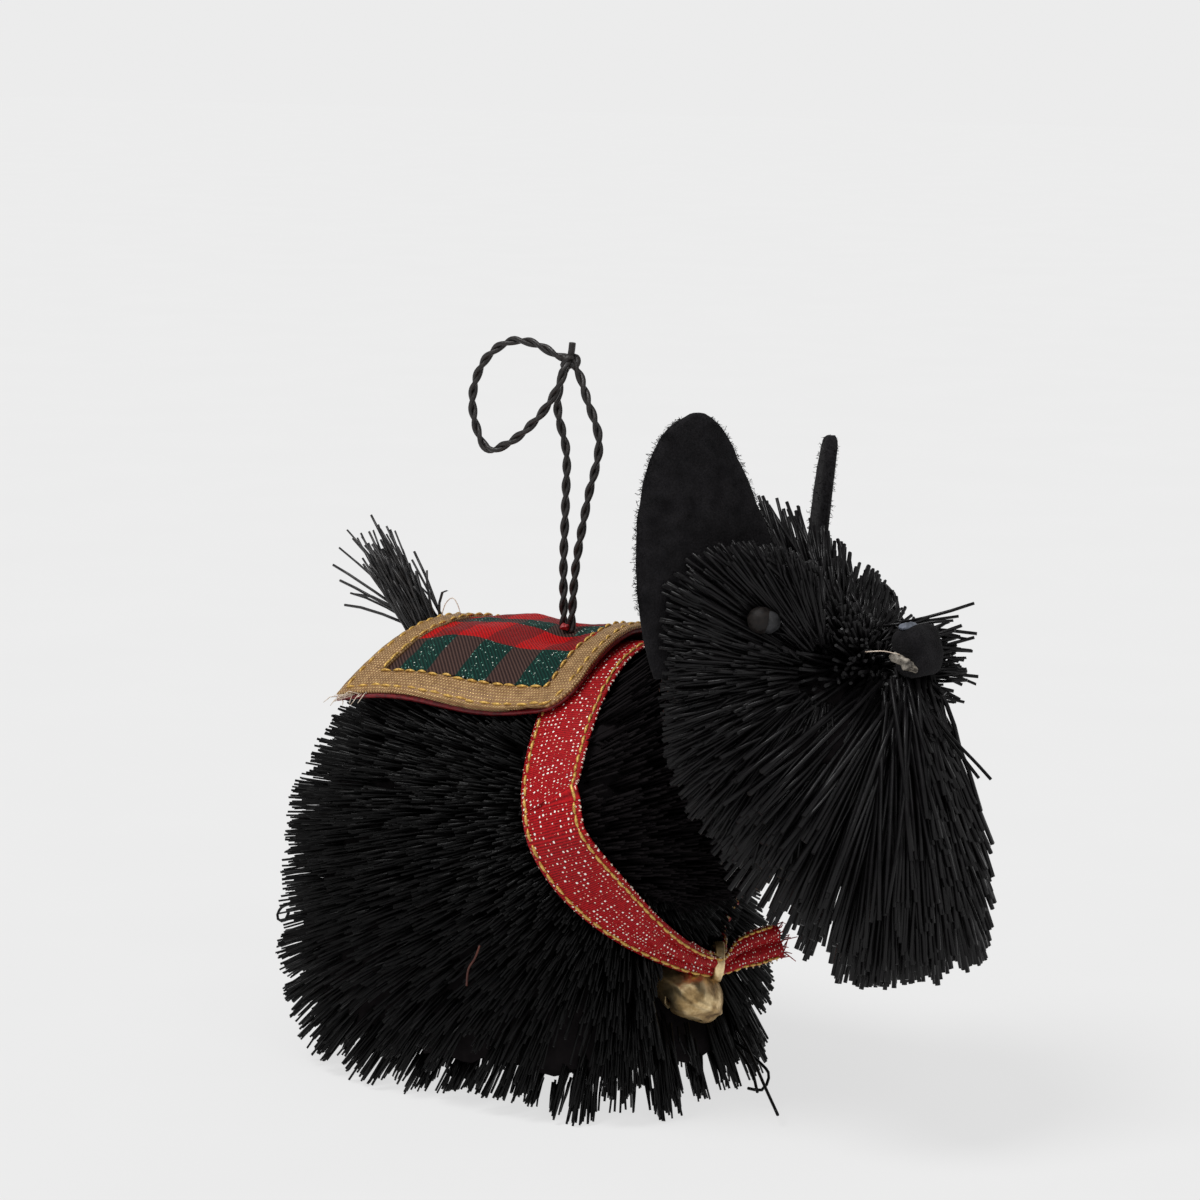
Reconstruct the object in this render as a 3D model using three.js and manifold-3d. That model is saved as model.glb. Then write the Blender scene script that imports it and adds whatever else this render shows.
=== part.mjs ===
// A hanging ornament in the form of a small terrier, made of two bundles of black bristles.
// Millimetres, +Z up. The dog faces +X and its left side is +Y.
import * as THREE from "three";
import { mergeVertices } from "three/addons/utils/BufferGeometryUtils.js";
import Module from "manifold-3d";

const wasm = await Module();
wasm.setup();

// Driving dimensions
const GAP = 0.3;
const RIBBON_WIDTH = 10.4;
const RIBBON_THICK = 0.6;
const BELL_RADIUS = 5.8;
const CORD_DIAMETER = 1.4;
const FELT_THICK = 2;
const EYE_RADIUS = 1.9;

// The middle of the dog's footprint, which becomes the part's origin
const FOOTPRINT_MIDDLE = new THREE.Vector3(5.2, 0.1, -3);

// Level sections of the two bristle bundles: height, middle along X, half length and half width
const BODY_SECTIONS = [
  [-11, -11.5, 33, 25],
  [-3, -12.1, 35.3, 26.6],
  [5, -13.8, 37.2, 27.8],
  [14, -14.6, 37.8, 28.3],
  [25, -15, 35.6, 28.2],
  [40, -15, 34, 27.8],
  [48, -14, 31.8, 26.6],
  [54, -12.6, 28.4, 24.2],
  [58, -11.8, 25.6, 21],
  [61, -11.6, 23.4, 16.5],
  [64, -11.8, 19.5, 10],
  [66, -12, 17, 3],
];
const BODY_POWER = 3;
const HEAD_SECTIONS = [
  [23.2, 53.5, 7, 13],
  [25.5, 52.5, 10.5, 16.5],
  [29, 49.8, 13.3, 18.8],
  [36, 46, 16.5, 21.8],
  [49.5, 42.2, 19.2, 24],
  [63, 37.7, 19.5, 24.5],
  [70, 35, 18, 23],
  [74, 32.5, 15.5, 21.5],
  [78, 30, 12.5, 18.5],
  [82, 28, 10, 14],
  [86, 27, 7, 9],
  [89.5, 26.5, 3, 4],
];
const HEAD_POWER = 2.3;
const NECK_MIDDLE = new THREE.Vector3(14, 0, 46.5);
const NECK_RADII = new THREE.Vector3(17, 28, 21.5);

// Where the bristles of each bundle fan out from, and where its skin is sampled from
const BODY_FAN = new THREE.Vector3(9, 0, 40);
const BODY_MIDDLE = new THREE.Vector3(-12, 0, 32);
const HEAD_FAN = new THREE.Vector3(39.6, 0, 65);
const HEAD_MIDDLE = new THREE.Vector3(41, 0, 56);
const LOCK_DEPTH = 3.6;
const LOCK_SHORTEST = 0.75;
const LOCK_LONGEST = 1.35;

// Materials
function paint(color, roughness, metalness = 0) {
  return new THREE.MeshStandardMaterial({ color, roughness, metalness });
}

const BRISTLE = paint(0x0b0b0c, 0.42);
const FELT = paint(0x0a0a0b, 0.95);
const BEAD = paint(0x17120f, 0.5);
const PLAID = paint(0x5a1a1c, 0.6);
const GOLD_MESH = paint(0xb89a5c, 0.5, 0.4);
const LINING = paint(0x6e1014, 0.55);
const RED_RIBBON = paint(0xa3161c, 0.5);
const BRASS = paint(0x8a7346, 0.38, 0.9);
const CORD = paint(0x14100f, 0.35);

// A seeded source of random numbers from 0 to 1
function randomSource(seed) {
  let state = seed;
  return () => {
    state = (state * 1664525 + 1013904223) % 4294967296;
    return state / 4294967296;
  };
}

// Solids for cutting and joining
function toSolid(geometry) {
  const bare = geometry.clone();
  bare.deleteAttribute("normal");
  bare.deleteAttribute("uv");
  const merged = mergeVertices(bare, 1e-4);
  const mesh = new wasm.Mesh({
    numProp: 3,
    vertProperties: merged.attributes.position.array,
    triVerts: new Uint32Array(merged.index.array),
  });
  return new wasm.Manifold(mesh);
}

function toGeometry(solid) {
  const mesh = solid.getMesh();
  const geometry = new THREE.BufferGeometry();
  geometry.setAttribute("position", new THREE.BufferAttribute(mesh.vertProperties, 3));
  geometry.setIndex(new THREE.BufferAttribute(mesh.triVerts, 1));
  return geometry;
}

function cut(geometry, ...cutters) {
  let solid = toSolid(geometry);
  for (const cutter of cutters) solid = solid.subtract(toSolid(cutter));
  return toGeometry(solid);
}

function join(...geometries) {
  let solid = toSolid(geometries[0]);
  for (const geometry of geometries.slice(1)) solid = solid.add(toSolid(geometry));
  return toGeometry(solid);
}

function fromTriangles(points, triangles) {
  const geometry = new THREE.BufferGeometry();
  geometry.setAttribute("position", new THREE.Float32BufferAttribute(points.flatMap((p) => [p.x, p.y, p.z]), 3));
  geometry.setIndex(triangles);
  return geometry;
}

// Bristle bundles
function insideSections(point, rows, power) {
  const above = rows.findIndex((row) => row[0] >= point.z);
  if (above < 1) return false;
  const [low, high] = [rows[above - 1], rows[above]];
  const share = (point.z - low[0]) / (high[0] - low[0]);
  const [middle, long, wide] = [1, 2, 3].map((k) => THREE.MathUtils.lerp(low[k], high[k], share));
  const along = Math.abs(point.x - middle) / long;
  const across = Math.abs(point.y) / wide;
  return along ** power + across ** power < 1;
}

function insideNeck(point) {
  return point.clone().sub(NECK_MIDDLE).divide(NECK_RADII).length() < 1;
}

const insideBody = (point) => insideSections(point, BODY_SECTIONS, BODY_POWER) || insideNeck(point);
const insideHead = (point) => insideSections(point, HEAD_SECTIONS, HEAD_POWER);

// The point where a ray from the middle leaves the bundle
function skinPoint(middle, direction, inside) {
  let [near, far] = [0, 100];
  for (let step = 0; step < 30; step += 1) {
    const half = (near + far) / 2;
    const point = middle.clone().addScaledVector(direction, half);
    if (inside(point)) near = half;
    else far = half;
  }
  return middle.clone().addScaledVector(direction, near);
}

// A closed skin of pointed locks: each face of a globe becomes a low pyramid that leans along the bristles
function bristleBundle({ middle, fan, inside, fineness, seed }) {
  const globe = new THREE.IcosahedronGeometry(1, fineness);
  globe.deleteAttribute("normal");
  globe.deleteAttribute("uv");
  const sphere = mergeVertices(globe, 1e-4);
  const random = randomSource(seed);
  const points = [];
  for (let i = 0; i < sphere.attributes.position.count; i += 1) {
    const direction = new THREE.Vector3().fromBufferAttribute(sphere.attributes.position, i).normalize();
    const skin = skinPoint(middle, direction, inside);
    points.push(skin.addScaledVector(direction, -LOCK_DEPTH));
  }
  const triangles = [];
  for (let i = 0; i < sphere.index.count; i += 3) {
    const corners = [0, 1, 2].map((k) => sphere.index.getX(i + k));
    const [a, b, c] = corners.map((k) => points[k]);
    const centre = a.clone().add(b).add(c).divideScalar(3);
    const outward = centre.clone().sub(middle).normalize();
    const lean = centre.clone().sub(fan).normalize();
    const height = LOCK_DEPTH * THREE.MathUtils.lerp(LOCK_SHORTEST, LOCK_LONGEST, random());
    const tip = centre.addScaledVector(outward.add(lean).normalize(), height);
    const apex = points.push(tip) - 1;
    for (let k = 0; k < 3; k += 1) triangles.push(corners[k], corners[(k + 1) % 3], apex);
  }
  return fromTriangles(points, triangles);
}

// Cloth: a slab that follows a surface, over the grid cells that are kept
function clothSlab(columns, rows, surface, low, high, keep = () => true) {
  const points = [];
  const normalAt = (u, v) => {
    const step = 0.01;
    const du = surface(u + step, v).sub(surface(u - step, v));
    const dv = surface(u, v + step).sub(surface(u, v - step));
    return du.cross(dv).normalize();
  };
  const index = (i, j, top) => 2 * (i * rows.length + j) + (top ? 1 : 0);
  for (const u of columns) {
    for (const v of rows) {
      const normal = normalAt(u, v);
      for (const height of [low, high]) points.push(surface(u, v).addScaledVector(normal, height));
    }
  }
  const triangles = [];
  const quad = (a, b, c, d) => triangles.push(a, b, c, a, c, d);
  const kept = (i, j) => i >= 0 && j >= 0 && i < columns.length - 1 && j < rows.length - 1 && keep(i, j);
  const wall = (from, to) => quad(index(...from, false), index(...to, false), index(...to, true), index(...from, true));
  for (let i = 0; i < columns.length - 1; i += 1) {
    for (let j = 0; j < rows.length - 1; j += 1) {
      if (!kept(i, j)) continue;
      quad(index(i, j, true), index(i + 1, j, true), index(i + 1, j + 1, true), index(i, j + 1, true));
      quad(index(i, j, false), index(i, j + 1, false), index(i + 1, j + 1, false), index(i + 1, j, false));
      if (!kept(i, j - 1)) wall([i, j], [i + 1, j]);
      if (!kept(i + 1, j)) wall([i + 1, j], [i + 1, j + 1]);
      if (!kept(i, j + 1)) wall([i + 1, j + 1], [i, j + 1]);
      if (!kept(i - 1, j)) wall([i, j + 1], [i, j]);
    }
  }
  return fromTriangles(points, triangles);
}

function evenly(from, to, steps) {
  return Array.from({ length: steps + 1 }, (_, k) => THREE.MathUtils.lerp(from, to, k / steps));
}

// Saddle blanket: u runs from its rear edge to its front edge in millimetres, v across it from -1 to 1
const BLANKET = {
  rearX: -31,
  length: 37.5,
  rearHalfWidth: 24.5,
  frontHalfWidth: 19,
  rearHeight: 65,
  frontHeight: 67.6,
  rearDrop: 8,
  frontDrop: 9.6,
  cornerShare: 0.72,
  cornerRadius: 4.5,
  ripple: 0.9,
  trimWidth: 4.6,
  coverThick: 0.7,
  liningThick: 0.5,
};

function blanketPoint(u, v) {
  const share = u / BLANKET.length;
  const side = Math.abs(v);
  const corner = Math.max(0, (side - BLANKET.cornerShare) / (1 - BLANKET.cornerShare));
  const roundBack = BLANKET.cornerRadius * (1 - Math.sqrt(Math.max(0, 1 - Math.min(corner, 1) ** 2)));
  const x = BLANKET.rearX + u - share * roundBack;
  const halfWidth = THREE.MathUtils.lerp(BLANKET.rearHalfWidth, BLANKET.frontHalfWidth, share);
  const crest = THREE.MathUtils.lerp(BLANKET.rearHeight, BLANKET.frontHeight, share);
  const drop = THREE.MathUtils.lerp(BLANKET.rearDrop, BLANKET.frontDrop, share);
  const ripple = BLANKET.ripple * side ** 2 * Math.sin(2 * Math.PI * share);
  return new THREE.Vector3(x, v * halfWidth, crest - drop * side ** 1.8 + ripple);
}

// The height of the blanket, or of its slope carried on past its edge, over a place on the floor
function blanketHeight(x, y) {
  const share = THREE.MathUtils.clamp((x - BLANKET.rearX) / BLANKET.length, 0, 1);
  const halfWidth = THREE.MathUtils.lerp(BLANKET.rearHalfWidth, BLANKET.frontHalfWidth, share);
  return blanketPoint(share * BLANKET.length, y / halfWidth).z;
}

const TRIM_V = BLANKET.trimWidth / BLANKET.rearHalfWidth;
const GAP_V = GAP / BLANKET.frontHalfWidth;

function blanketCover() {
  const inset = BLANKET.trimWidth + GAP;
  const columns = evenly(inset, BLANKET.length - inset, 6);
  const rows = evenly(-1 + TRIM_V + GAP_V, 1 - TRIM_V - GAP_V, 8);
  return clothSlab(columns, rows, blanketPoint, -BLANKET.coverThick, 0);
}

function blanketTrim() {
  const columns = [0, ...evenly(BLANKET.trimWidth, BLANKET.length - BLANKET.trimWidth, 6), BLANKET.length];
  const rows = [-1, ...evenly(-1 + TRIM_V, 1 - TRIM_V, 8), 1];
  const border = (i, j) => i === 0 || j === 0 || i === columns.length - 2 || j === rows.length - 2;
  return clothSlab(columns, rows, blanketPoint, -BLANKET.coverThick, 0.2, border);
}

function blanketLining() {
  const top = -BLANKET.coverThick - GAP;
  const columns = evenly(0.4, BLANKET.length - 0.4, 6);
  return clothSlab(columns, evenly(-1, 1, 10), blanketPoint, top - BLANKET.liningThick, top);
}

// What the blanket presses down in the bundle below it
function blanketClearance() {
  const below = -BLANKET.coverThick - BLANKET.liningThick - 3 * GAP;
  return clothSlab(evenly(-1, BLANKET.length + 1, 4), evenly(-1.04, 1.04, 8), blanketPoint, below, 12);
}

// Collar ribbon: turn 0 is at the chest, and a quarter turn is at the dog's right side
const COLLAR = {
  middle: new THREE.Vector3(12.4, 0, 42.4),
  down: new THREE.Vector3(0.34, 0, -0.94).normalize(),
  lowerReach: 23,
  upperReach: 23.6,
  underBlanket: 3.6,
  halfWidth: 27.6,
  lowerPower: 1.4,
  upperPower: 1.7,
  chestNormal: new THREE.Vector3(0.85, 0, -0.53),
  backNormal: new THREE.Vector3(-0.12, 0, 1),
  gatheredWidth: 3.6,
  underEnd: 0.32,
  overlap: 0.8,
  steps: 48,
};

function collarFrame(turn) {
  const [c, s] = [Math.cos(turn), Math.sin(turn)];
  const power = c > 0 ? COLLAR.lowerPower : COLLAR.upperPower;
  const reach = c > 0 ? COLLAR.lowerReach : COLLAR.upperReach;
  const radius = (Math.abs(c) ** power + Math.abs(s) ** power) ** (-1 / power);
  const point = COLLAR.middle.clone().addScaledVector(COLLAR.down, radius * c * reach);
  point.y -= radius * s * COLLAR.halfWidth;
  point.z = Math.min(point.z, blanketHeight(point.x, point.y) - COLLAR.underBlanket);
  const normal = new THREE.Vector3(0, -s, 0);
  normal.addScaledVector(COLLAR.chestNormal, Math.max(c, 0)).addScaledVector(COLLAR.backNormal, Math.max(-c, 0));
  return { point, normal: normal.normalize() };
}

function collarWidth(turn) {
  const fromChest = Math.abs(Math.atan2(Math.sin(turn), Math.cos(turn)));
  const spread = THREE.MathUtils.smoothstep(fromChest, 0.15, 1.2);
  return THREE.MathUtils.lerp(COLLAR.gatheredWidth, RIBBON_WIDTH, spread);
}

// A strip along the collar from the turn first to the turn last, low and high above the collar's line
function collarStrip(first, last, steps, low, high, widen = 0) {
  const rings = evenly(0, 1, steps).map((share) => {
    const turn = THREE.MathUtils.lerp(first, last, share);
    const here = collarFrame(turn);
    const ahead = collarFrame(turn + 0.01);
    const along = ahead.point.clone().sub(here.point).normalize();
    const side = new THREE.Vector3().crossVectors(along, here.normal).normalize();
    const half = collarWidth(turn) / 2 + widen;
    const corner = (across, height) =>
      here.point.clone().addScaledVector(side, across * half).addScaledVector(here.normal, height);
    return [corner(1, low(share)), corner(1, high(share)), corner(-1, high(share)), corner(-1, low(share))];
  });
  return loftRings(rings);
}

// Joins rings of equal size into a closed solid with flat ends
function loftRings(rings) {
  const size = rings[0].length;
  const triangles = [];
  for (let i = 0; i < rings.length - 1; i += 1) {
    for (let k = 0; k < size; k += 1) {
      const [a, b] = [i * size + k, i * size + ((k + 1) % size)];
      triangles.push(a, b, b + size, a, b + size, a + size);
    }
  }
  const last = (rings.length - 1) * size;
  for (let k = 1; k < size - 1; k += 1) {
    triangles.push(0, k + 1, k);
    triangles.push(last, last + k, last + k + 1);
  }
  return fromTriangles(rings.flat(), triangles);
}

// The under end lies on the right of the chest, and the cut end passes over it to the left of the chest
function collarRibbon() {
  const lift = (share) => share * (RIBBON_THICK + GAP + 0.25) + 2.4 * Math.max(0, share - 0.94) / 0.06;
  const last = -2 * Math.PI - COLLAR.overlap;
  return collarStrip(COLLAR.underEnd, last, COLLAR.steps, lift, (share) => lift(share) + RIBBON_THICK);
}

function collarClearance() {
  return collarStrip(0, -2 * Math.PI + 1e-3, 36, () => -GAP, () => 9, 0.5);
}

// Felt ears: a leaf with a nearly straight outer edge and a rounded tip
const EAR = {
  outer: 10.2,
  inner: 11,
  height: 37.4,
  rootHeight: 66,
  faceTurn: THREE.MathUtils.degToRad(35),
};

function earShape(grow) {
  const shape = new THREE.Shape();
  shape.moveTo(-7.6 - grow, -grow);
  shape.bezierCurveTo(-9.8 - grow, 6, -EAR.outer - 0.6 - grow, 14, -EAR.outer - grow, 22);
  shape.bezierCurveTo(-9.6 - grow, 30, -7, EAR.height + grow, -1, EAR.height + grow);
  shape.bezierCurveTo(2.6, EAR.height + grow, 6.4 + grow, 27, 8.6 + grow, 22.5);
  shape.bezierCurveTo(EAR.inner + 1 + grow, 16, EAR.inner + grow, 8, 7.6 + grow, -grow);
  return shape;
}

// side is -1 for the right ear and 1 for the left one
function ear(side, middle, drop, lean, grow = 0) {
  const thick = FELT_THICK + 2 * grow;
  const geometry = new THREE.ExtrudeGeometry(earShape(grow), { depth: thick, bevelEnabled: false, curveSegments: 6 });
  geometry.translate(0, 0, -thick / 2);
  if (side > 0) geometry.rotateY(Math.PI);
  geometry.rotateX(Math.PI / 2);
  geometry.rotateZ(Math.PI / 2 + side * EAR.faceTurn);
  geometry.applyMatrix4(new THREE.Matrix4().makeRotationAxis(new THREE.Vector3(0, 1, 0), lean));
  return geometry.translate(middle.x, middle.y, EAR.rootHeight - drop);
}

const earRight = (grow) => ear(-1, new THREE.Vector2(31, -18.6), 0, 0, grow);
const earLeft = (grow) => ear(1, new THREE.Vector2(25.6, 16.4), 7, THREE.MathUtils.degToRad(6), grow);

// Bead eyes and felt nose
const EYE_RIGHT = new THREE.Vector3(39.7, -17.5, 74.7);
const EYE_LEFT = new THREE.Vector3(36.4, 20.2, 72.6);
const NOSE = { x: 54.9, z: 69.3, long: 5, wide: 7.6, tall: 7.4, round: 1.6 };

function eye(place, grow = 0) {
  const geometry = new THREE.SphereGeometry(EYE_RADIUS + grow, 10, 6);
  return geometry.translate(place.x, place.y, place.z);
}

function nose(grow = 0) {
  const half = NOSE.wide / 2 + grow;
  const high = NOSE.tall / 2 + grow;
  const shape = new THREE.Shape();
  shape.moveTo(-half + NOSE.round, -high);
  shape.lineTo(half - NOSE.round, -high);
  shape.quadraticCurveTo(half, -high, half, -high + NOSE.round);
  shape.lineTo(half, high - NOSE.round);
  shape.quadraticCurveTo(half, high, half - NOSE.round, high);
  shape.lineTo(-half + NOSE.round, high);
  shape.quadraticCurveTo(-half, high, -half, high - NOSE.round);
  shape.lineTo(-half, -high + NOSE.round);
  shape.quadraticCurveTo(-half, -high, -half + NOSE.round, -high);
  const round = { bevelThickness: 1, bevelSize: 1, bevelOffset: -1, bevelSegments: 2 };
  const geometry = new THREE.ExtrudeGeometry(shape, { depth: NOSE.long - 1 + 2 * grow, curveSegments: 3, ...round });
  geometry.rotateX(Math.PI / 2);
  geometry.rotateZ(Math.PI / 2);
  geometry.rotateY(THREE.MathUtils.degToRad(-12));
  return geometry.translate(NOSE.x - NOSE.long / 2 - grow, 0, NOSE.z);
}

// Tail: a few fused wisps that spread from one root
const TAIL_ROOT = new THREE.Vector3(-31.6, 0, 60.6);
const TAIL_TIPS = [
  [-43.7, 0, 80],
  [-41.2, -2.5, 77.4],
  [-49, 2, 75.8],
  [-49.2, -3, 71.6],
  [-51.2, 1.5, 69],
  [-38.8, -2, 74.5],
];

function wisp(root, tip, rootRadius, tipRadius) {
  const along = tip.clone().sub(root);
  const geometry = new THREE.CylinderGeometry(tipRadius, rootRadius, along.length(), 5, 1);
  geometry.rotateX(Math.PI / 2);
  const turn = new THREE.Quaternion().setFromUnitVectors(new THREE.Vector3(0, 0, 1), along.clone().normalize());
  geometry.applyQuaternion(turn);
  const middle = root.clone().add(tip).divideScalar(2);
  return geometry.translate(middle.x, middle.y, middle.z);
}

function tail() {
  return join(...TAIL_TIPS.map((tip) => wisp(TAIL_ROOT, new THREE.Vector3(...tip), 1.8, 0.7)));
}

// Bell: a hollow shell of two halves with a seam, a slot below and a wire ring for the ribbon
const BELL = {
  middle: new THREE.Vector3(18.1, -3.1, 14.1),
  up: new THREE.Vector3(0.38, 0.42, 0.82).normalize(),
  halfHeight: 3.9,
  wall: 0.7,
  seam: 0.35,
  slotWidth: 1.2,
  ringRadius: 3.5,
  ringLift: 0.35,
  wireRadius: 0.5,
};

function bellProfile(shrink, seam) {
  return evenly(-Math.PI / 2, Math.PI / 2, 8).map((angle) => {
    const lip = Math.abs(angle) < 0.01 ? seam : 0;
    const radius = (BELL_RADIUS - shrink + lip) * Math.cos(angle);
    return new THREE.Vector2(Math.max(radius, 0), (BELL.halfHeight - shrink) * Math.sin(angle));
  });
}

function bell() {
  const outer = new THREE.LatheGeometry(bellProfile(0, BELL.seam), 16);
  const inner = new THREE.LatheGeometry(bellProfile(BELL.wall, 0), 10);
  const slot = new THREE.BoxGeometry(BELL_RADIUS * 1.5, BELL.halfHeight, BELL.slotWidth);
  slot.translate(0, -BELL.halfHeight * 0.9, 0);
  const shell = cut(outer, inner, slot, slot.clone().rotateY(Math.PI / 2));
  shell.applyQuaternion(new THREE.Quaternion().setFromUnitVectors(new THREE.Vector3(0, 1, 0), BELL.up));
  shell.translate(BELL.middle.x, BELL.middle.y, BELL.middle.z);
  return join(shell, bellRing());
}

// The ring stands across the ribbon, which runs through it along Y
function bellRing() {
  const ring = new THREE.TorusGeometry(BELL.ringRadius, BELL.wireRadius, 5, 12);
  const through = new THREE.Vector3(0, 1, 0).addScaledVector(BELL.up, -BELL.up.y).normalize();
  const aside = new THREE.Vector3().crossVectors(through, BELL.up);
  ring.applyMatrix4(new THREE.Matrix4().makeBasis(BELL.up, aside, through));
  const middle = ringMiddle();
  return ring.translate(middle.x, middle.y, middle.z);
}

function ringMiddle() {
  return BELL.middle.clone().addScaledVector(BELL.up, BELL.halfHeight + BELL.ringRadius + BELL.ringLift);
}

// The hollow that the bell and its ring press into the chest
function bellClearance() {
  const round = new THREE.SphereGeometry(BELL_RADIUS + 1, 12, 8);
  round.translate(BELL.middle.x, BELL.middle.y, BELL.middle.z);
  const middle = ringMiddle();
  const ringRound = new THREE.SphereGeometry(BELL.ringRadius + BELL.wireRadius + 0.7, 10, 7);
  ringRound.translate(middle.x, middle.y, middle.z);
  return join(round, ringRound);
}

// Hanging cord: two legs up to a knot, and a loop that leaves the knot and comes back to it
const KNOT = new THREE.Vector3(-5.6, 0, 106.6);
const KNOT_RADIUS = 1.5;
const CORD_STEP = 4;
const LEG_REAR = [
  [-6.9, 0.3, 69.2],
  [-7, 0.4, 76],
  [-6.6, 0.4, 85.5],
  [-6.4, 0.3, 93],
  [-8, 0.4, 99],
  [-7.7, 0.4, 102.6],
  [-7, 0.5, 104.9],
];
const LEG_FRONT = [
  [-5.2, -0.3, 69.4],
  [-4.2, -0.3, 76],
  [-2, -0.4, 86],
  [0.1, -0.4, 95],
  [-2, -0.4, 101],
  [-4.1, 0.2, 105],
];
const LOOP = [
  [-7.3, -0.4, 107.3],
  [-11.2, -1, 109],
  [-15.6, -1.4, 109.1],
  [-20, -1.8, 106],
  [-22.2, -2, 100.4],
  [-21, -2.2, 94.9],
  [-19, -2.3, 92.6],
  [-14.6, -2.3, 94.2],
  [-9.6, -2.3, 98.2],
  [-6.6, -2, 102.2],
  [-5.5, -1.6, 105],
];

function cordTube(route) {
  const points = route.map((place) => new THREE.Vector3(...place));
  const path = new THREE.CatmullRomCurve3(points, false, "centripetal");
  const section = new THREE.Shape();
  const radius = CORD_DIAMETER / 2;
  for (let k = 0; k < 8; k += 1) {
    const angle = (2 * Math.PI * k) / 8;
    const [x, y] = [radius * Math.cos(angle), radius * Math.sin(angle)];
    if (k === 0) section.moveTo(x, y);
    else section.lineTo(x, y);
  }
  section.closePath();
  const steps = Math.ceil(path.getLength() / CORD_STEP);
  return new THREE.ExtrudeGeometry(section, { steps, extrudePath: path, bevelEnabled: false });
}

function hangerKnot() {
  const lump = new THREE.SphereGeometry(KNOT_RADIUS, 8, 6);
  lump.scale(1, 0.9, 0.8).translate(KNOT.x, KNOT.y, KNOT.z);
  const stub = wisp(KNOT, new THREE.Vector3(-5, 0, 109.4), CORD_DIAMETER / 2, CORD_DIAMETER / 3);
  return join(lump, stub);
}

// Body: the first bundle, cut where the head, tail, blanket, ribbon and bell press into it
function floorCutter() {
  return new THREE.BoxGeometry(160, 120, 40).translate(0, 0, FOOTPRINT_MIDDLE.z - 20);
}

// The low arch between the front and hind legs, and the partings between left and right legs
function legPartings() {
  const arch = new THREE.CylinderGeometry(24, 24, 90, 32).translate(-3.5, 0, FOOTPRINT_MIDDLE.z - 21.4);
  const frontParting = new THREE.ConeGeometry(2.2, 6, 6).rotateX(Math.PI / 2).scale(4, 1, 1).translate(19, -3, FOOTPRINT_MIDDLE.z + 2.9);
  const rearParting = frontParting.clone().translate(-63, 3, 0);
  return join(arch, frontParting, rearParting);
}

function headBundle() {
  return bristleBundle({ middle: HEAD_MIDDLE, fan: HEAD_FAN, inside: insideHead, fineness: 4, seed: 7 });
}

// A smooth form just outside the head's longest locks
function headClearance() {
  const globe = new THREE.IcosahedronGeometry(1, 3);
  const place = globe.attributes.position;
  for (let i = 0; i < place.count; i += 1) {
    const direction = new THREE.Vector3().fromBufferAttribute(place, i).normalize();
    const skin = skinPoint(HEAD_MIDDLE, direction, insideHead);
    skin.addScaledVector(direction, LOCK_DEPTH * (LOCK_LONGEST - 1) + 2 * GAP);
    place.setXYZ(i, skin.x, skin.y, skin.z);
  }
  return globe;
}

// The hollow round the root of the tail
function tailClearance() {
  const below = TAIL_ROOT.clone().add(new THREE.Vector3(0.8, 0, -1.6));
  return wisp(below, new THREE.Vector3(-43, 0, 73), 3.4, 8);
}

function body() {
  const bundle = bristleBundle({ middle: BODY_MIDDLE, fan: BODY_FAN, inside: insideBody, fineness: 5, seed: 3 });
  const cutters = [floorCutter(), legPartings(), blanketClearance(), collarClearance(), bellClearance()];
  return cut(bundle, ...cutters, headClearance(), tailClearance());
}

function head() {
  return cut(headBundle(), earRight(GAP), earLeft(GAP), eye(EYE_RIGHT, GAP), eye(EYE_LEFT, GAP), nose(GAP));
}

// The whole ornament
const PIECES = [
  ["body", body(), BRISTLE],
  ["head", head(), BRISTLE],
  ["tail", tail(), BRISTLE],
  ["ear_right", earRight(0), FELT],
  ["ear_left", earLeft(0), FELT],
  ["eye_right", eye(EYE_RIGHT), BEAD],
  ["eye_left", eye(EYE_LEFT), BEAD],
  ["nose", nose(), FELT],
  ["blanket_cover", blanketCover(), PLAID],
  ["blanket_trim", blanketTrim(), GOLD_MESH],
  ["blanket_lining", blanketLining(), LINING],
  ["collar_ribbon", collarRibbon(), RED_RIBBON],
  ["bell", bell(), BRASS],
  ["hanger_leg_rear", cordTube(LEG_REAR), CORD],
  ["hanger_leg_front", cordTube(LEG_FRONT), CORD],
  ["hanger_loop", cordTube(LOOP), CORD],
  ["hanger_knot", hangerKnot(), CORD],
];

const ornament = new THREE.Group();
for (const [name, geometry, material] of PIECES) {
  const mesh = new THREE.Mesh(geometry, material);
  mesh.name = name;
  ornament.add(mesh);
}
ornament.position.copy(FOOTPRINT_MIDDLE).negate();

export default ornament;
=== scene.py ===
# The looks of the bristle dog ornament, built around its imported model.
# Shapes are worked out in the dog's own millimetres, and placed() turns them into metres of the row frame.
import math

import bpy
import numpy as np
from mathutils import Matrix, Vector, kdtree


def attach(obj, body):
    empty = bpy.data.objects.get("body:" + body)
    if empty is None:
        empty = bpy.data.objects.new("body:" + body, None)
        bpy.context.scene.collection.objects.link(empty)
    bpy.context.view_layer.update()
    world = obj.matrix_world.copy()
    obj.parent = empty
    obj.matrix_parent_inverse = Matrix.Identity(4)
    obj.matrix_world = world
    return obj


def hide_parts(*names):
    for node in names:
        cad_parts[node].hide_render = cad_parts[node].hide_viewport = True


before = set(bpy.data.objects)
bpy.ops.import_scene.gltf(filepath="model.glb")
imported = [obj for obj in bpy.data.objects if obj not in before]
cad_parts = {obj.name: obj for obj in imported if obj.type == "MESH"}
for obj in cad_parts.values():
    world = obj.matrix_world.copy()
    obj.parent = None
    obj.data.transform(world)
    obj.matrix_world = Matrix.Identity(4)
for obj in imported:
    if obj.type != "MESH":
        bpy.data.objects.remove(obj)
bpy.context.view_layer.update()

# Driving dimensions in millimetres, as in the part's source
MM = 0.001
FOOTPRINT_MIDDLE = np.array((5.2, 0.1, -3.0))
FLOOR = FOOTPRINT_MIDDLE[2]
RIBBON_WIDTH = 10.4
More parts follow.
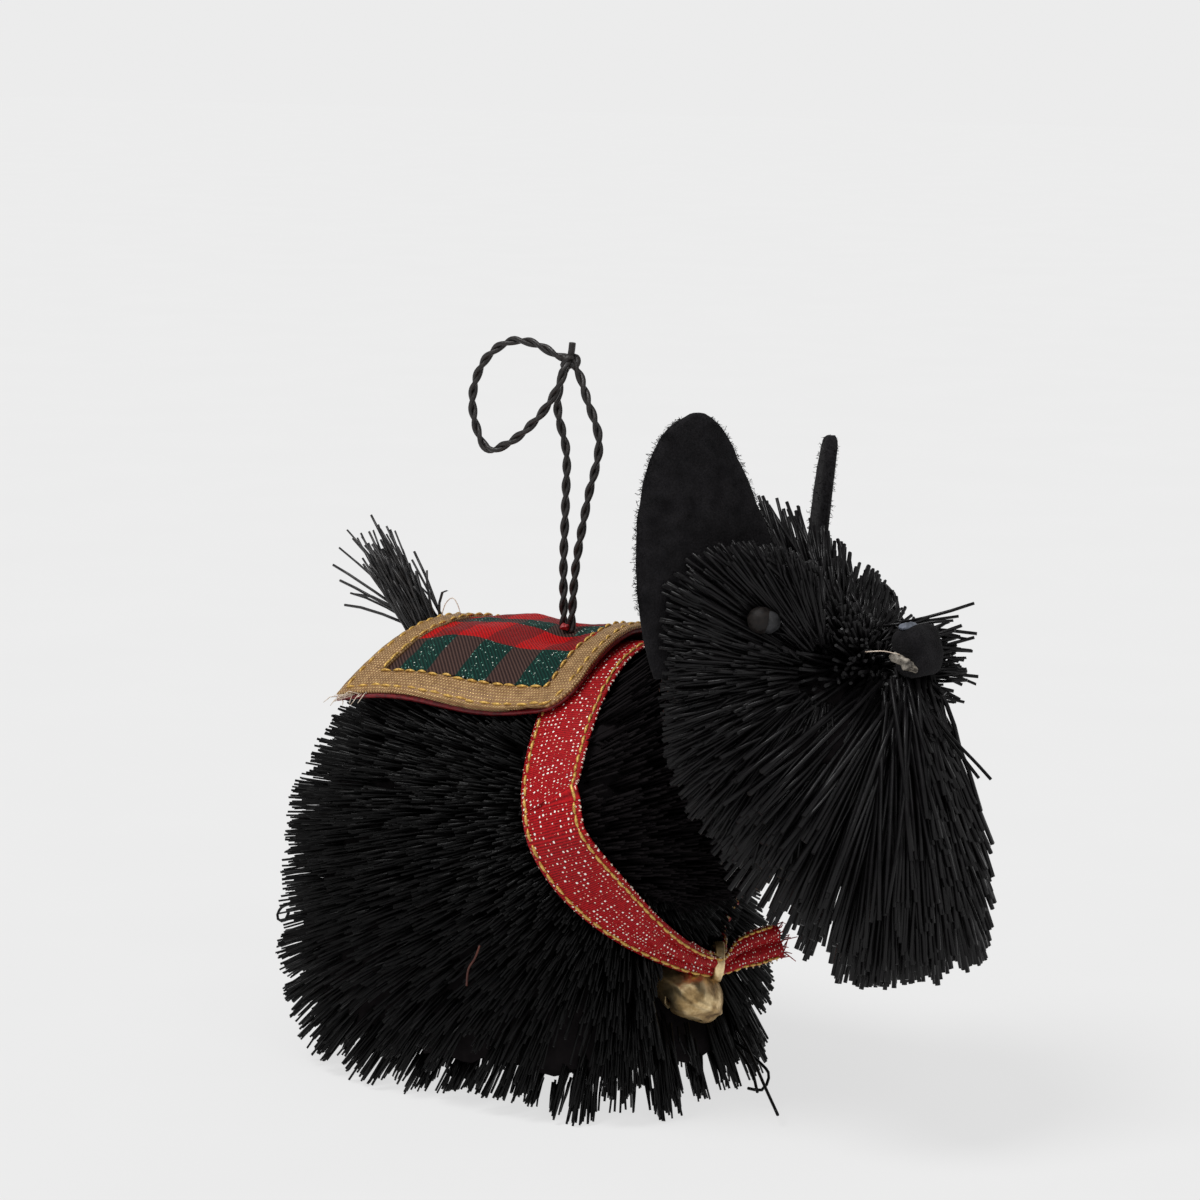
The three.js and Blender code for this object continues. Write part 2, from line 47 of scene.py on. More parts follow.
BELL_RADIUS = 5.8
EYE_RADIUS = 1.9
FELT_THICK = 2.0

# Level sections of the two bristle bundles: height, middle along X, half length and half width
BODY_SECTIONS = np.array((
    (-11, -11.5, 33, 25),
    (-3, -12.1, 35.3, 26.6),
    (5, -13.8, 37.2, 27.8),
    (14, -14.6, 37.8, 28.3),
    (25, -15, 35.6, 28.2),
    (40, -15, 34, 27.8),
    (48, -14, 31.8, 26.6),
    (54, -12.6, 28.4, 24.2),
    (58, -11.8, 25.6, 21),
    (61, -11.6, 23.4, 16.5),
    (64, -11.8, 19.5, 10),
    (66, -12, 17, 3),
))
BODY_POWER = 3
HEAD_SECTIONS = np.array((
    (23.2, 53.5, 7, 13),
    (25.5, 52.5, 10.5, 16.5),
    (29, 49.8, 13.3, 18.8),
    (36, 46, 16.5, 21.8),
    (49.5, 42.2, 19.2, 24),
    (63, 37.7, 19.5, 24.5),
    (70, 35, 18, 23),
    (74, 32.5, 15.5, 21.5),
    (78, 30, 12.5, 18.5),
    (82, 28, 10, 14),
    (86, 27, 7, 9),
    (89.5, 26.5, 3, 4),
))
HEAD_POWER = 2.3
NECK_MIDDLE = np.array((14, 0, 46.5))
NECK_RADII = np.array((17, 28, 21.5))
BODY_MIDDLE = np.array((-12.0, 0, 32))
HEAD_MIDDLE = np.array((41.0, 0, 56))
BODY_FAN = np.array((9.0, 0, 40))


# Places and meshes
def placed(points):
    """Points in the dog's millimetres, as metres in the row frame."""
    return (np.asarray(points, float) - FOOTPRINT_MIDDLE) * MM


def unit(vectors):
    vectors = np.asarray(vectors, float)
    return vectors / np.maximum(np.linalg.norm(vectors, axis=-1, keepdims=True), 1e-12)


def lerp(low, high, share):
    return low + (high - low) * share


def smoothstep(low, high, value):
    share = np.clip((value - low) / (high - low), 0, 1)
    return share * share * (3 - 2 * share)


def ripples(points, size, seed):
    """A smooth field of about -1 to 1, with waves about that many millimetres long."""
    rng = np.random.default_rng(seed)
    waves = unit(rng.normal(size=(9, 3))) * (2 * np.pi / size) * rng.uniform(0.6, 1.5, (9, 1))
    phases = rng.uniform(0, 2 * np.pi, 9)
    return 0.6 * np.sin(points @ waves.T + phases).sum(-1) / 3


def new_piece(name, points, quads=(), triangles=(), maps=None, smooth=True):
    """A mesh object from points in the dog's millimetres. maps holds UV maps by name, in face order."""
    quads = np.asarray(quads, np.int32).reshape(-1, 4)
    triangles = np.asarray(triangles, np.int32).reshape(-1, 3)
    sizes = np.concatenate((np.full(len(quads), 4), np.full(len(triangles), 3)))
    corners = np.concatenate((quads.ravel(), triangles.ravel()))
    mesh = bpy.data.meshes.new(name)
    mesh.vertices.add(len(points))
    mesh.vertices.foreach_set("co", placed(points).astype(np.float32).ravel())
    mesh.loops.add(len(corners))
    mesh.loops.foreach_set("vertex_index", corners)
    mesh.polygons.add(len(sizes))
    mesh.polygons.foreach_set("loop_start", np.concatenate(((0,), np.cumsum(sizes)[:-1])).astype(np.int32))
    mesh.update(calc_edges=True)
    for key, values in (maps or {}).items():
        layer = mesh.uv_layers.new(name=key)
        layer.data.foreach_set("uv", np.asarray(values, np.float32).ravel())
    shading = np.full(len(sizes), smooth) if isinstance(smooth, bool) else smooth
    mesh.polygons.foreach_set("use_smooth", shading)
    mesh.validate()
    piece = bpy.data.objects.new(name, mesh)
    bpy.context.scene.collection.objects.link(piece)
    return piece


def places_of(piece):
    """The dog's millimetres of each point of a piece."""
    return np.array([vertex.co for vertex in piece.data.vertices]) / MM + FOOTPRINT_MIDDLE


def move_to(piece, points):
    piece.data.vertices.foreach_set("co", placed(points).astype(np.float32).ravel())
    return piece


def finish_piece(piece, material, slot, *nodes):
    """Gives a piece its material and its body, and hides the CAD nodes that it stands for. slot is not used.
    """
    piece.data.materials.append(material)
    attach(piece, "root")
    if nodes:
        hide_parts(*nodes)
    return piece


# Materials
class Graph:
    """A material's node tree, with short ways to add nodes."""

    def __init__(self, name, **values):
        self.material = bpy.data.materials.new(name)
        self.material.use_nodes = True
        self.tree = self.material.node_tree
        self.surface = self.tree.nodes["Principled BSDF"]
        for key, value in values.items():
            self.surface.inputs[key.replace("_", " ")].default_value = value

    def feed(self, socket, value):
        if isinstance(value, bpy.types.NodeSocket):
            self.tree.links.new(value, socket)
        else:
            socket.default_value = value

    def node(self, kind, inputs=(), **values):
        node = self.tree.nodes.new(kind)
        for key, value in values.items():
            setattr(node, key, value)
        for key, value in dict(inputs).items():
            self.feed(node.inputs[key], value)
        return node

    def math(self, operation, *values):
        node = self.node("ShaderNodeMath", operation=operation)
        for socket, value in zip(node.inputs, values):
            self.feed(socket, value)
        return node.outputs[0]

    def times(self, first, second):
        return self.math("MULTIPLY", first, second)

    def plus(self, first, second):
        return self.math("ADD", first, second)

    def noise(self, size, detail=3.0):
        """Noise with features of about that many millimetres."""
        place = self.node("ShaderNodeTexCoord").outputs["Object"]
        inputs = {"Vector": place, "Scale": 1 / (size * MM), "Detail": detail}
        return self.node("ShaderNodeTexNoise", inputs).outputs["Fac"]

    def dots(self, place, scale, randomness):
        """Scattered cells: how far the nearest one's middle is, and a random colour for each."""
        inputs = {"Vector": place, "Scale": scale, "Randomness": randomness}
        cells = self.node("ShaderNodeTexVoronoi", inputs).outputs
        return cells["Distance"], self.node("ShaderNodeSeparateColor", {"Color": cells["Color"]}).outputs

    def zigzag(self, value, pitch):
        return self.math("PINGPONG", self.math("DIVIDE", value, pitch), 0.5)

    def ramp(self, value, *stops):
        """A colour for each stop, given as (place, (red, green, blue))."""
        ramp = self.node("ShaderNodeValToRGB", {"Fac": value})
        elements = ramp.color_ramp.elements
        while len(elements) < len(stops):
            elements.new(0.5)
        for element, (place, color) in zip(elements, stops):
            element.position = place
            element.color = (*color, 1)
        return ramp.outputs["Color"]

    def spread(self, value, low, high, to_low=0.0, to_high=1.0):
        inputs = {"Value": value, "From Min": low, "From Max": high, "To Min": to_low, "To Max": to_high}
        return self.node("ShaderNodeMapRange", inputs).outputs["Result"]

    def mix(self, share, first, second):
        node = self.node("ShaderNodeMix", data_type="RGBA")
        self.feed(node.inputs["Factor"], share)
        for key, value in (("A", first), ("B", second)):
            socket = next(s for s in node.inputs if s.name == key and s.type == "RGBA")
            self.feed(socket, value if isinstance(value, bpy.types.NodeSocket) else (*value, 1))
        return next(s for s in node.outputs if s.type == "RGBA")

    def bump(self, height, distance, strength=1.0):
        inputs = {"Height": height, "Distance": distance * MM, "Strength": strength}
        self.feed(self.surface.inputs["Normal"], self.node("ShaderNodeBump", inputs).outputs["Normal"])

    def set(self, **sockets):
        for key, value in sockets.items():
            self.feed(self.surface.inputs[key.replace("_", " ")], value)
        return self.material


def speckled(name, size, detail, dark, light, roughness, bump=0.0, spread=(0.3, 0.7), **values):
    """A material mottled by one noise. dark and light are (place, colour), roughness is (low, high)."""
    g = Graph(name, **values)
    cloud = g.noise(size, detail)
    if bump:
        g.bump(cloud, bump)
    return g.set(Base_Color=g.ramp(cloud, dark, light), Roughness=g.spread(cloud, *spread, *roughness))


def bristle_material(name, dark, light, roughness, gloss):
    rough = (roughness, roughness + 0.15)
    return speckled(name, 1.4, 2.0, (0.35, dark), (0.75, light), rough, Specular_IOR_Level=gloss)


def thread_material(name, dark, light, metallic=0.0, size=0.35):
    values = {"Specular_IOR_Level": 0.5, "Metallic": metallic}
    return speckled(name, size, 4.0, (0.35, dark), (0.65, light), (0.35, 0.55), 0.08, **values)


def felt_material():
    g = Graph("black_felt", Specular_IOR_Level=0.06, Sheen_Weight=0.02, Sheen_Roughness=0.5)
    fibres = g.noise(0.28, 6.0)
    shade = g.times(fibres, g.noise(2.6, 2.0))
    color = g.ramp(shade, (0.12, (0.0060, 0.0056, 0.0062)), (0.42, (0.019, 0.0178, 0.0195)))
    g.bump(fibres, 0.25)
    return g.set(Base_Color=color, Roughness=g.spread(fibres, 0.3, 0.7, 0.85, 1.0))


def glue_material(name, clear, cloudy, roughness):
    g = Graph(name, Specular_IOR_Level=0.3, Transmission_Weight=0.2)
    cloud = g.noise(0.9, 4.0)
    g.bump(g.noise(0.5, 2.0), 0.1)
    return g.set(Base_Color=g.ramp(cloud, (0.38, clear), (0.66, cloudy)),
                 Roughness=g.spread(cloud, 0.3, 0.7, roughness, roughness + 0.25))


def cloth_place(g):
    """The place on a cloth in millimetres: along it and across it."""
    place = g.node("ShaderNodeUVMap", uv_map="cloth").outputs["UV"]
    parts = g.node("ShaderNodeSeparateXYZ", {"Vector": place})
    return place, parts.outputs["X"], parts.outputs["Y"]


# The plaid: columns of green and brown along the dog, and a red band over each side
PLAID_PITCH = 10.1
PLAID_FIRST_GREEN = 6.9
RED_BAND = (1.7, 9.8)
TWILL_PITCH = 0.62
GREENS = ((0.001, 0.014, 0.011), (0.003, 0.040, 0.030))
BROWNS = ((0.016, 0.007, 0.007), (0.085, 0.046, 0.037))
REDS = ((0.27, 0.002, 0.003), (0.56, 0.004, 0.005))
REDS_ON_GREEN = ((0.13, 0.005, 0.006), (0.28, 0.010, 0.010))
FLAKE_SHARE = 0.42


def plaid_material():
    g = Graph("plaid", Specular_IOR_Level=0.12)
    place, along, across = cloth_place(g)
    side = g.math("ABSOLUTE", across)
    shifted = g.math("SUBTRACT", along, PLAID_FIRST_GREEN)
    green = g.math("LESS_THAN", g.math("FRACT", g.math("DIVIDE", shifted, PLAID_PITCH)), 0.5)
    band = g.times(g.math("GREATER_THAN", side, RED_BAND[0]), g.math("LESS_THAN", side, RED_BAND[1]))
    twill = g.spread(g.zigzag(g.plus(along, across), TWILL_PITCH), 0.08, 0.42)
    thread = g.noise(0.3, 3.0)
    ground = g.mix(twill, *(g.mix(green, *pair) for pair in zip(BROWNS, GREENS)))
    red = g.mix(twill, *(g.mix(green, *pair) for pair in zip(REDS, REDS_ON_GREEN)))
    distance, chosen = g.dots(place, 2.6, 0.75)
    chosen = chosen["Red"]
    dot = g.times(g.math("LESS_THAN", distance, 0.28), g.math("GREATER_THAN", chosen, FLAKE_SHARE))
    dot = g.times(dot, g.times(green, g.math("SUBTRACT", 1.0, band)))
    # Glitter flakes in the green run at random from dark to light green, and the palest go near white: their
    # own green, with painted glints on the palest.
    pale = (0.97, (0.75, 0.80, 0.72))
    flake_and_glint = g.ramp(chosen, (FLAKE_SHARE, (0.03, 0.16, 0.12)), (0.8, (0.16, 0.36, 0.28)), pale)
    g.bump(g.plus(twill, g.times(thread, 0.6)), 0.09)
    return g.set(Base_Color=g.mix(dot, g.mix(band, ground, red), flake_and_glint),
                 Roughness=g.spread(thread, 0.3, 0.7, 0.42, 0.62))


MESH_PITCH = 0.5


def gold_mesh_material():
    g = Graph("gold_mesh", Specular_IOR_Level=0.35)
    threads = [g.zigzag(g.plus(way, MESH_PITCH / 2), MESH_PITCH) for way in cloth_place(g)[1:]]
    weave = g.times(*(g.spread(thread, 0.05, 0.4) for thread in threads))
    patchy = g.noise(1.3, 3.0)
    # The weave's raised crossings take the lighter gold and its hollows the darker: painted light on the
    # crossings and painted shade in the hollows.
    shaded_valley = g.ramp(patchy, (0.35, (0.19, 0.090, 0.034)), (0.7, (0.29, 0.145, 0.056)))
    ridge = g.ramp(patchy, (0.35, (0.52, 0.33, 0.135)), (0.7, (0.74, 0.52, 0.24)))
    g.bump(weave, 0.12)
    return g.set(Base_Color=g.mix(weave, shaded_valley, ridge), Metallic=g.spread(weave, 0.2, 0.9, 0.1, 0.45),
                 Roughness=g.spread(patchy, 0.3, 0.7, 0.34, 0.5))


def ribbon_material():
    g = Graph("red_ribbon", Specular_IOR_Level=0.12)
    place, along, _ = cloth_place(g)
    shade = g.plus(g.times(g.zigzag(along, 0.36), 0.8), g.times(g.noise(0.35, 4.0), 0.6))
    reds = ((0.22, (0.09, 0.002, 0.004)), (0.45, (0.28, 0.004, 0.007)), (0.72, (0.50, 0.008, 0.012)))
    # The metal dots run at random from pink-gold to near white: their own colour, with painted glints on the
    # palest ones.
    dot_and_glint_colours = ((0.15, (0.80, 0.32, 0.24)), (0.45, (1.0, 0.72, 0.55)), (0.8, (1.0, 0.96, 0.88)))
    distance, chosen = g.dots(place, 1.4, 0.3)
    chosen = chosen["Green"]
    dot = g.math("LESS_THAN", distance, g.spread(chosen, 0.1, 1.0, 0.14, 0.27))
    g.bump(g.plus(shade, g.times(dot, 0.8)), 0.09)
    return g.set(Base_Color=g.mix(dot, g.ramp(shade, *reds), g.ramp(chosen, *dot_and_glint_colours)),
                 Metallic=g.times(dot, 0.1), Roughness=g.spread(dot, 0.0, 1.0, 0.5, 0.22))


def brass_material():
    g = Graph("old_brass")
    cloud = g.noise(2.6, 4.0)
    speck = g.noise(0.5, 3.0)
    tarnish = g.plus(g.times(cloud, 0.85), g.times(speck, 0.15))
    golds = ((0.32, (0.15, 0.088, 0.034)), (0.45, (0.46, 0.31, 0.14)), (0.62, (0.86, 0.67, 0.38)))
    g.bump(g.plus(cloud, g.times(speck, 0.2)), 0.12)
    return g.set(Base_Color=g.ramp(tarnish, *golds), Metallic=g.spread(tarnish, 0.3, 0.55, 0.7, 1.0),
                 Roughness=g.spread(tarnish, 0.35, 0.65, 0.55, 0.36))


BODY_BRISTLE = bristle_material("body_bristle", (0.003, 0.003, 0.0032), (0.0048, 0.0044, 0.0045), 0.26, 0.12)
HEAD_BRISTLE = bristle_material("head_bristle", (0.0046, 0.0043, 0.0048), (0.0078, 0.007, 0.0076), 0.25, 0.17)
TAIL_BRISTLE = bristle_material("tail_bristle", (0.010, 0.010, 0.011), (0.040, 0.037, 0.036), 0.3, 0.35)
CORE = bristle_material("bristle_core", (0.0090, 0.0078, 0.0084), (0.0130, 0.0110, 0.0116), 0.8, 0.0)
RED_FIBRE = bristle_material("reddish_fibre", (0.05, 0.012, 0.008), (0.11, 0.03, 0.018), 0.4, 0.3)
FELT = felt_material()
BEAD = speckled("bead", 0.7, 4.0, (0.4, (0.006, 0.0045, 0.0042)), (0.7, (0.016, 0.012, 0.0105)), (0.45, 0.7),
                0.06, (0.35, 0.65), Specular_IOR_Level=0.22)
PLAID = plaid_material()
GOLD_MESH = gold_mesh_material()
GOLD_THREAD = thread_material("gold_thread", (0.40, 0.20, 0.03), (0.80, 0.52, 0.13), 0.35)
PALE_THREAD = thread_material("pale_thread", (0.45, 0.33, 0.24), (0.85, 0.74, 0.62))
RED_THREAD = thread_material("red_thread", (0.16, 0.005, 0.008), (0.42, 0.018, 0.022))
LINING = thread_material("dark_red_lining", (0.09, 0.004, 0.007), (0.24, 0.010, 0.015), 0.0, 0.6)
RED_RIBBON = ribbon_material()
BRASS = brass_material()
CORD = thread_material("cord_thread", (0.006, 0.005, 0.005), (0.022, 0.017, 0.015), 0.0, 0.5)
CLEAR_GLUE = glue_material("clear_glue", (0.05, 0.04, 0.03), (0.50, 0.45, 0.38), 0.15)
GREY_GLUE = glue_material("grey_glue", (0.009, 0.009, 0.010), (0.030, 0.030, 0.033), 0.5)
# The pale blue-grey of this glue is a painted highlight.
HIGHLIGHT_GLUE = glue_material("glue_painted_highlight", (0.07, 0.08, 0.10), (0.20, 0.22, 0.27), 0.35)


# Camera at the photograph's viewing angle
VIEW_AZIMUTH = math.radians(35)
VIEW_ELEVATION = math.radians(10)
VIEW_DISTANCE = 540
VIEW_LENS = 108
VIEW_TARGET = (0, 0, 71)
FILM_WIDTH = 36


def make_camera():
    data = bpy.data.cameras.new("camera")
    data.lens = VIEW_LENS
    data.sensor_width = FILM_WIDTH
    camera = bpy.data.objects.new("camera", data)
    bpy.context.scene.collection.objects.link(camera)
    level = math.cos(VIEW_ELEVATION)
    aside, ahead = math.sin(VIEW_AZIMUTH), -math.cos(VIEW_AZIMUTH)
    back = Vector((aside * level, ahead * level, math.sin(VIEW_ELEVATION)))
    camera.location = Vector(placed(VIEW_TARGET)) + back * VIEW_DISTANCE * MM
    camera.rotation_euler = (-back).to_track_quat("-Z", "Y").to_euler()
    bpy.context.scene.camera = camera


make_camera()


# Strands and tubes. A strand is a straight-sided thin rod, and many of them make up one piece
def strand_faces(strands, rings, sides):
    """Quads along each strand, and the two end caps as triangle fans."""
    start = np.arange(strands)[:, None, None] * rings * sides
    ring = np.arange(rings - 1)[None, :, None] * sides
    k = np.arange(sides)[None, None, :]
    after = (k + 1) % sides
    low, high = start + ring, start + ring + sides
    quads = np.stack((low + k, low + after, high + after, high + k), -1).reshape(-1, 4)
    fan = np.arange(1, sides - 1)
    root = np.arange(strands)[:, None] * rings * sides
    tip = root + (rings - 1) * sides
    ends = np.stack((root + 0 * fan, root + fan + 1, root + fan), -1)
    tips = np.stack((tip + 0 * fan, tip + fan, tip + fan + 1), -1)
    return quads, np.concatenate((ends, tips)).reshape(-1, 3)


def strand_bake_map(strands, rings, sides):
    """A UV map with a cell of its own for each strand, so that the finish of each one can be kept."""
    grid = math.ceil(math.sqrt(strands))
    index = np.arange(strands)
    corner = np.stack((index % grid, index // grid), -1)[:, None, None, None] / grid
    column = np.arange(sides)[None, None, :]
    row = np.arange(rings - 1)[None, :, None] / (rings - 1)
    u0, u1 = ((column + inset + 0 * row) / (sides + 1) for inset in (0.1, 0.9))
    v0 = 0.05 + 0.9 * (row + 0 * column)
    v1 = v0 + 0.9 / (rings - 1)
    quad = np.stack([np.stack(place, -1) for place in ((u0, v0), (u1, v0), (u1, v1), (u0, v1))], -2)
    left, right = ((sides + inset) / (sides + 1) for inset in (0.1, 0.9))
    ends = []
    for low, high in ((0.05, 0.45), (0.55, 0.95)):
        step = (high - low) / (sides - 2)
        lows = [low + k * step for k in range(sides - 2)]
        fan = np.array([((left, start), (right, start), (right, start + 0.9 * step)) for start in lows])
        ends.append((fan[None] / grid + corner[:, 0]).reshape(-1, 2))
    return np.concatenate(((quad / grid + corner).reshape(-1, 2), *ends))


def circle(aside, above, sides):
    """Directions all round a line, from two that are square to it."""
    angles = np.arange(sides) * 2 * np.pi / sides
    return np.cos(angles)[None, :, None] * aside[:, None] + np.sin(angles)[None, :, None] * above[:, None]


def strand_points(lines, radii, sides, seed):
    """The rings of points round each line. lines is (strands, rings, 3) and radii is (strands, rings)."""
    rng = np.random.default_rng(seed)
    along = unit(lines[:, -1] - lines[:, 0])
    aside = unit(np.cross(along, rng.normal(size=along.shape)))
    ring = circle(aside, np.cross(along, aside), sides)
    return (lines[:, :, None] + radii[:, :, None, None] * ring[:, None]).reshape(-1, 3)


def strand_piece(name, lines, radii, sides=3, seed=1):
    lines = np.asarray(lines, float)
    radii = np.broadcast_to(radii, lines.shape[:2])
    quads, triangles = strand_faces(len(lines), lines.shape[1], sides)
    smooth = np.concatenate((np.full(len(quads), True), np.full(len(triangles), False)))
    maps = {"OFBake": strand_bake_map(len(lines), lines.shape[1], sides)}
    return new_piece(name, strand_points(lines, radii, sides, seed), quads, triangles, maps, smooth)


def smooth_route(points, step):
    """Points every step millimetres along a centripetal Catmull-Rom curve through the given ones."""
    points = np.asarray(points, float)
    ends = (2 * points[:1] - points[1:2], points, 2 * points[-1:] - points[-2:-1])
    guide = np.concatenate(ends)
    made = []
    for p0, p1, p2, p3 in zip(guide, guide[1:], guide[2:], guide[3:]):
        t1 = math.sqrt(math.dist(p0, p1))
        t2 = t1 + math.sqrt(math.dist(p1, p2))
        t3 = t2 + math.sqrt(math.dist(p2, p3))
        t = np.linspace(t1, t2, 24, endpoint=False)[:, None]
        a1 = (t1 - t) / t1 * p0 + t / t1 * p1
        a2 = (t2 - t) / (t2 - t1) * p1 + (t - t1) / (t2 - t1) * p2
        a3 = (t3 - t) / (t3 - t2) * p2 + (t - t2) / (t3 - t2) * p3
        b1 = (t2 - t) / t2 * a1 + t / t2 * a2
        b2 = (t3 - t) / (t3 - t1) * a2 + (t - t1) / (t3 - t1) * a3
        made.append((t2 - t) / (t2 - t1) * b1 + (t - t1) / (t2 - t1) * b2)
    fine = np.concatenate((*made, points[-1:]))
    reach = np.concatenate(((0,), np.cumsum(np.linalg.norm(np.diff(fine, axis=0), axis=1))))
    places = np.linspace(0, reach[-1], max(2, round(reach[-1] / step) + 1))
    return np.stack([np.interp(places, reach, fine[:, k]) for k in range(3)], -1)


def resampled(line, count):
    """The same line with that many points."""
    places, old = np.linspace(0, 1, count), np.linspace(0, 1, len(line))
    return np.stack([np.interp(places, old, line[:, k]) for k in range(3)], -1)


def carried_frames(route):
    """Two directions square to a route at each point, carried along it without twist."""
    along = unit(np.gradient(route, axis=0))
    aside = [unit(np.cross(along[0], (0.3, 1, 0.2)))]
    for direction in along[1:]:
        aside.append(unit(aside[-1] - np.dot(aside[-1], direction) * direction))
    aside = np.array(aside)
    return aside, np.cross(along, aside)


def tube_points(route, radius, sides):
    return (route[:, None] + radius * circle(*carried_frames(route), sides)).reshape(-1, 3)


def tube_piece(name, routes, radius, sides=8):
    """One piece of several closed tubes with equally many steps."""
    points = np.concatenate([tube_points(route, radius, sides) for route in routes])
    quads, triangles = strand_faces(len(routes), len(routes[0]), sides)
    return new_piece(name, points, quads, triangles)


# Hanging cord: two twisted plies that go up to the knot, round the loop and down again
KNOT = np.array((-5.6, 0, 106.6))
KNOT_STUB = (-5, 0, 109.4)
LEG_REAR = (
    (-6.9, 0.3, 65.6),
    (-7, 0.4, 76),
    (-6.6, 0.4, 85.5),
    (-6.4, 0.3, 93),
    (-8, 0.4, 99),
    (-7.7, 0.4, 102.6),
    (-7, 0.5, 104.9),
)
LOOP = (
    (-7.3, -0.4, 107.3),
    (-11.2, -1, 109),
    (-15.6, -1.4, 109.1),
    (-20, -1.8, 106),
    (-22.2, -2, 100.4),
    (-21, -2.2, 94.9),
    (-19, -2.3, 92.6),
    (-14.6, -2.3, 94.2),
    (-9.6, -2.3, 98.2),
    (-6.6, -2, 102.2),
    (-5.5, -1.6, 105),
)
LEG_FRONT = (
    (-4.1, 0.2, 105),
    (-2, -0.4, 101),
    (0.1, -0.4, 95),
    (-2, -0.4, 86),
    (-4.2, -0.3, 76),
    (-5.2, -0.3, 65.6),
)
PLY_PITCH = 6.0
PLY_RADIUS = 0.38
PLY_OFFSET = 0.33
CORD_STEP = 0.4
KNOT_SPREAD = (0.44, 0.36, 0.62)
KNOT_RADIUS = 0.52
KNOT_STEPS = 61


def hanging_cord():
    through_knot = (*LEG_REAR, KNOT + (0.2, 0.6, 0), *LOOP, KNOT + (0.3, -0.5, 0.2), *LEG_FRONT)
    route = smooth_route(through_knot, CORD_STEP)
    aside, above = carried_frames(route)
    reach = np.arange(len(route)) * CORD_STEP
    turn = 2 * np.pi * reach / PLY_PITCH + 0.35 * np.sin(reach / 5.3)
    lean = np.cos(turn)[:, None] * aside + np.sin(turn)[:, None] * above
    plies = [route + side * PLY_OFFSET * lean for side in (-1, 1)]
    cord = finish_piece(tube_piece("hanging_cord", plies, PLY_RADIUS), CORD, "cord",
                        "hanger_leg_rear", "hanger_leg_front", "hanger_loop")
    turns = np.linspace(0, 2 * np.pi, KNOT_STEPS)
    across = (np.sin(turns) + 2 * np.sin(2 * turns), np.cos(turns) - 2 * np.cos(2 * turns))
    wrap = KNOT + np.stack((*across, -np.sin(3 * turns)), -1) * KNOT_SPREAD
    stub = smooth_route((KNOT, (KNOT + KNOT_STUB) / 2 + (0.1, 0, 0), KNOT_STUB), 0.3)
    tubes = (wrap, resampled(stub, KNOT_STEPS))
    knot = finish_piece(tube_piece("cord_knot", tubes, KNOT_RADIUS), CORD, "cord", "hanger_knot")


hanging_cord()


# Saddle blanket: u runs from its rear edge to its front edge in millimetres, v across it from -1 to 1
BLANKET_REAR = -31.0
BLANKET_LENGTH = 37.5
BLANKET_HALF_WIDTH = (24.5, 19.0)
BLANKET_HEIGHT = (65.0, 67.6)
BLANKET_DROP = (8.0, 9.6)
CORNER_SHARE = 0.72
CORNER_RADIUS = 4.5
EDGE_RIPPLE = 0.9
TRIM_WIDTH = 4.6
CLOTH_GAP = 0.3
COVER_THICK = 0.3
LINING_THICK = 0.5
MEAN_HALF_WIDTH = 22.0
TRIM_V = TRIM_WIDTH / BLANKET_HALF_WIDTH[0]
GAP_V = CLOTH_GAP / BLANKET_HALF_WIDTH[1]


def blanket_relief(u, v):
    """The soft humps and the hollow where the cord pulls the cloth down."""
    hump = 1.3 * np.exp(-(((u - 13) / 6.5) ** 2) - ((np.abs(v) - 0.42) / 0.26) ** 2)
    hollow = 1.9 * np.exp(-(((u - 26) / 5.5) ** 2) - ((np.abs(v + 0.16)) / 0.2) ** 2)
    return hump - hollow


def blanket_point(u, v):
    """A place on the blanket's surface, with rounded front corners and a drooping edge."""
    share = u / BLANKET_LENGTH
    side = np.abs(v)
    corner = np.clip((side - CORNER_SHARE) / (1 - CORNER_SHARE), 0, 1)
    round_back = CORNER_RADIUS * (1 - np.sqrt(1 - corner**2))
    drop = lerp(*BLANKET_DROP, share) * side**1.8
    ripple = EDGE_RIPPLE * side**2 * np.sin(2 * np.pi * share)
    x = BLANKET_REAR + u - share * round_back
    z = lerp(*BLANKET_HEIGHT, share) - drop + ripple + blanket_relief(u, v)
    return np.stack((x, v * lerp(*BLANKET_HALF_WIDTH, share), z), -1)


def blanket_height(x, y):
    """The blanket's height, or its slope carried on past its edge, over a place on the floor."""
    share = np.clip((x - BLANKET_REAR) / BLANKET_LENGTH, 0, 1)
    return blanket_point(share * BLANKET_LENGTH, y / lerp(*BLANKET_HALF_WIDTH, share))[..., 2]


def surface_normals(surface, u, v):
    du = surface(u + 0.01, v) - surface(u - 0.01, v)
    dv = surface(u, v + 0.001) - surface(u, v - 0.001)
    return unit(np.cross(du, dv))


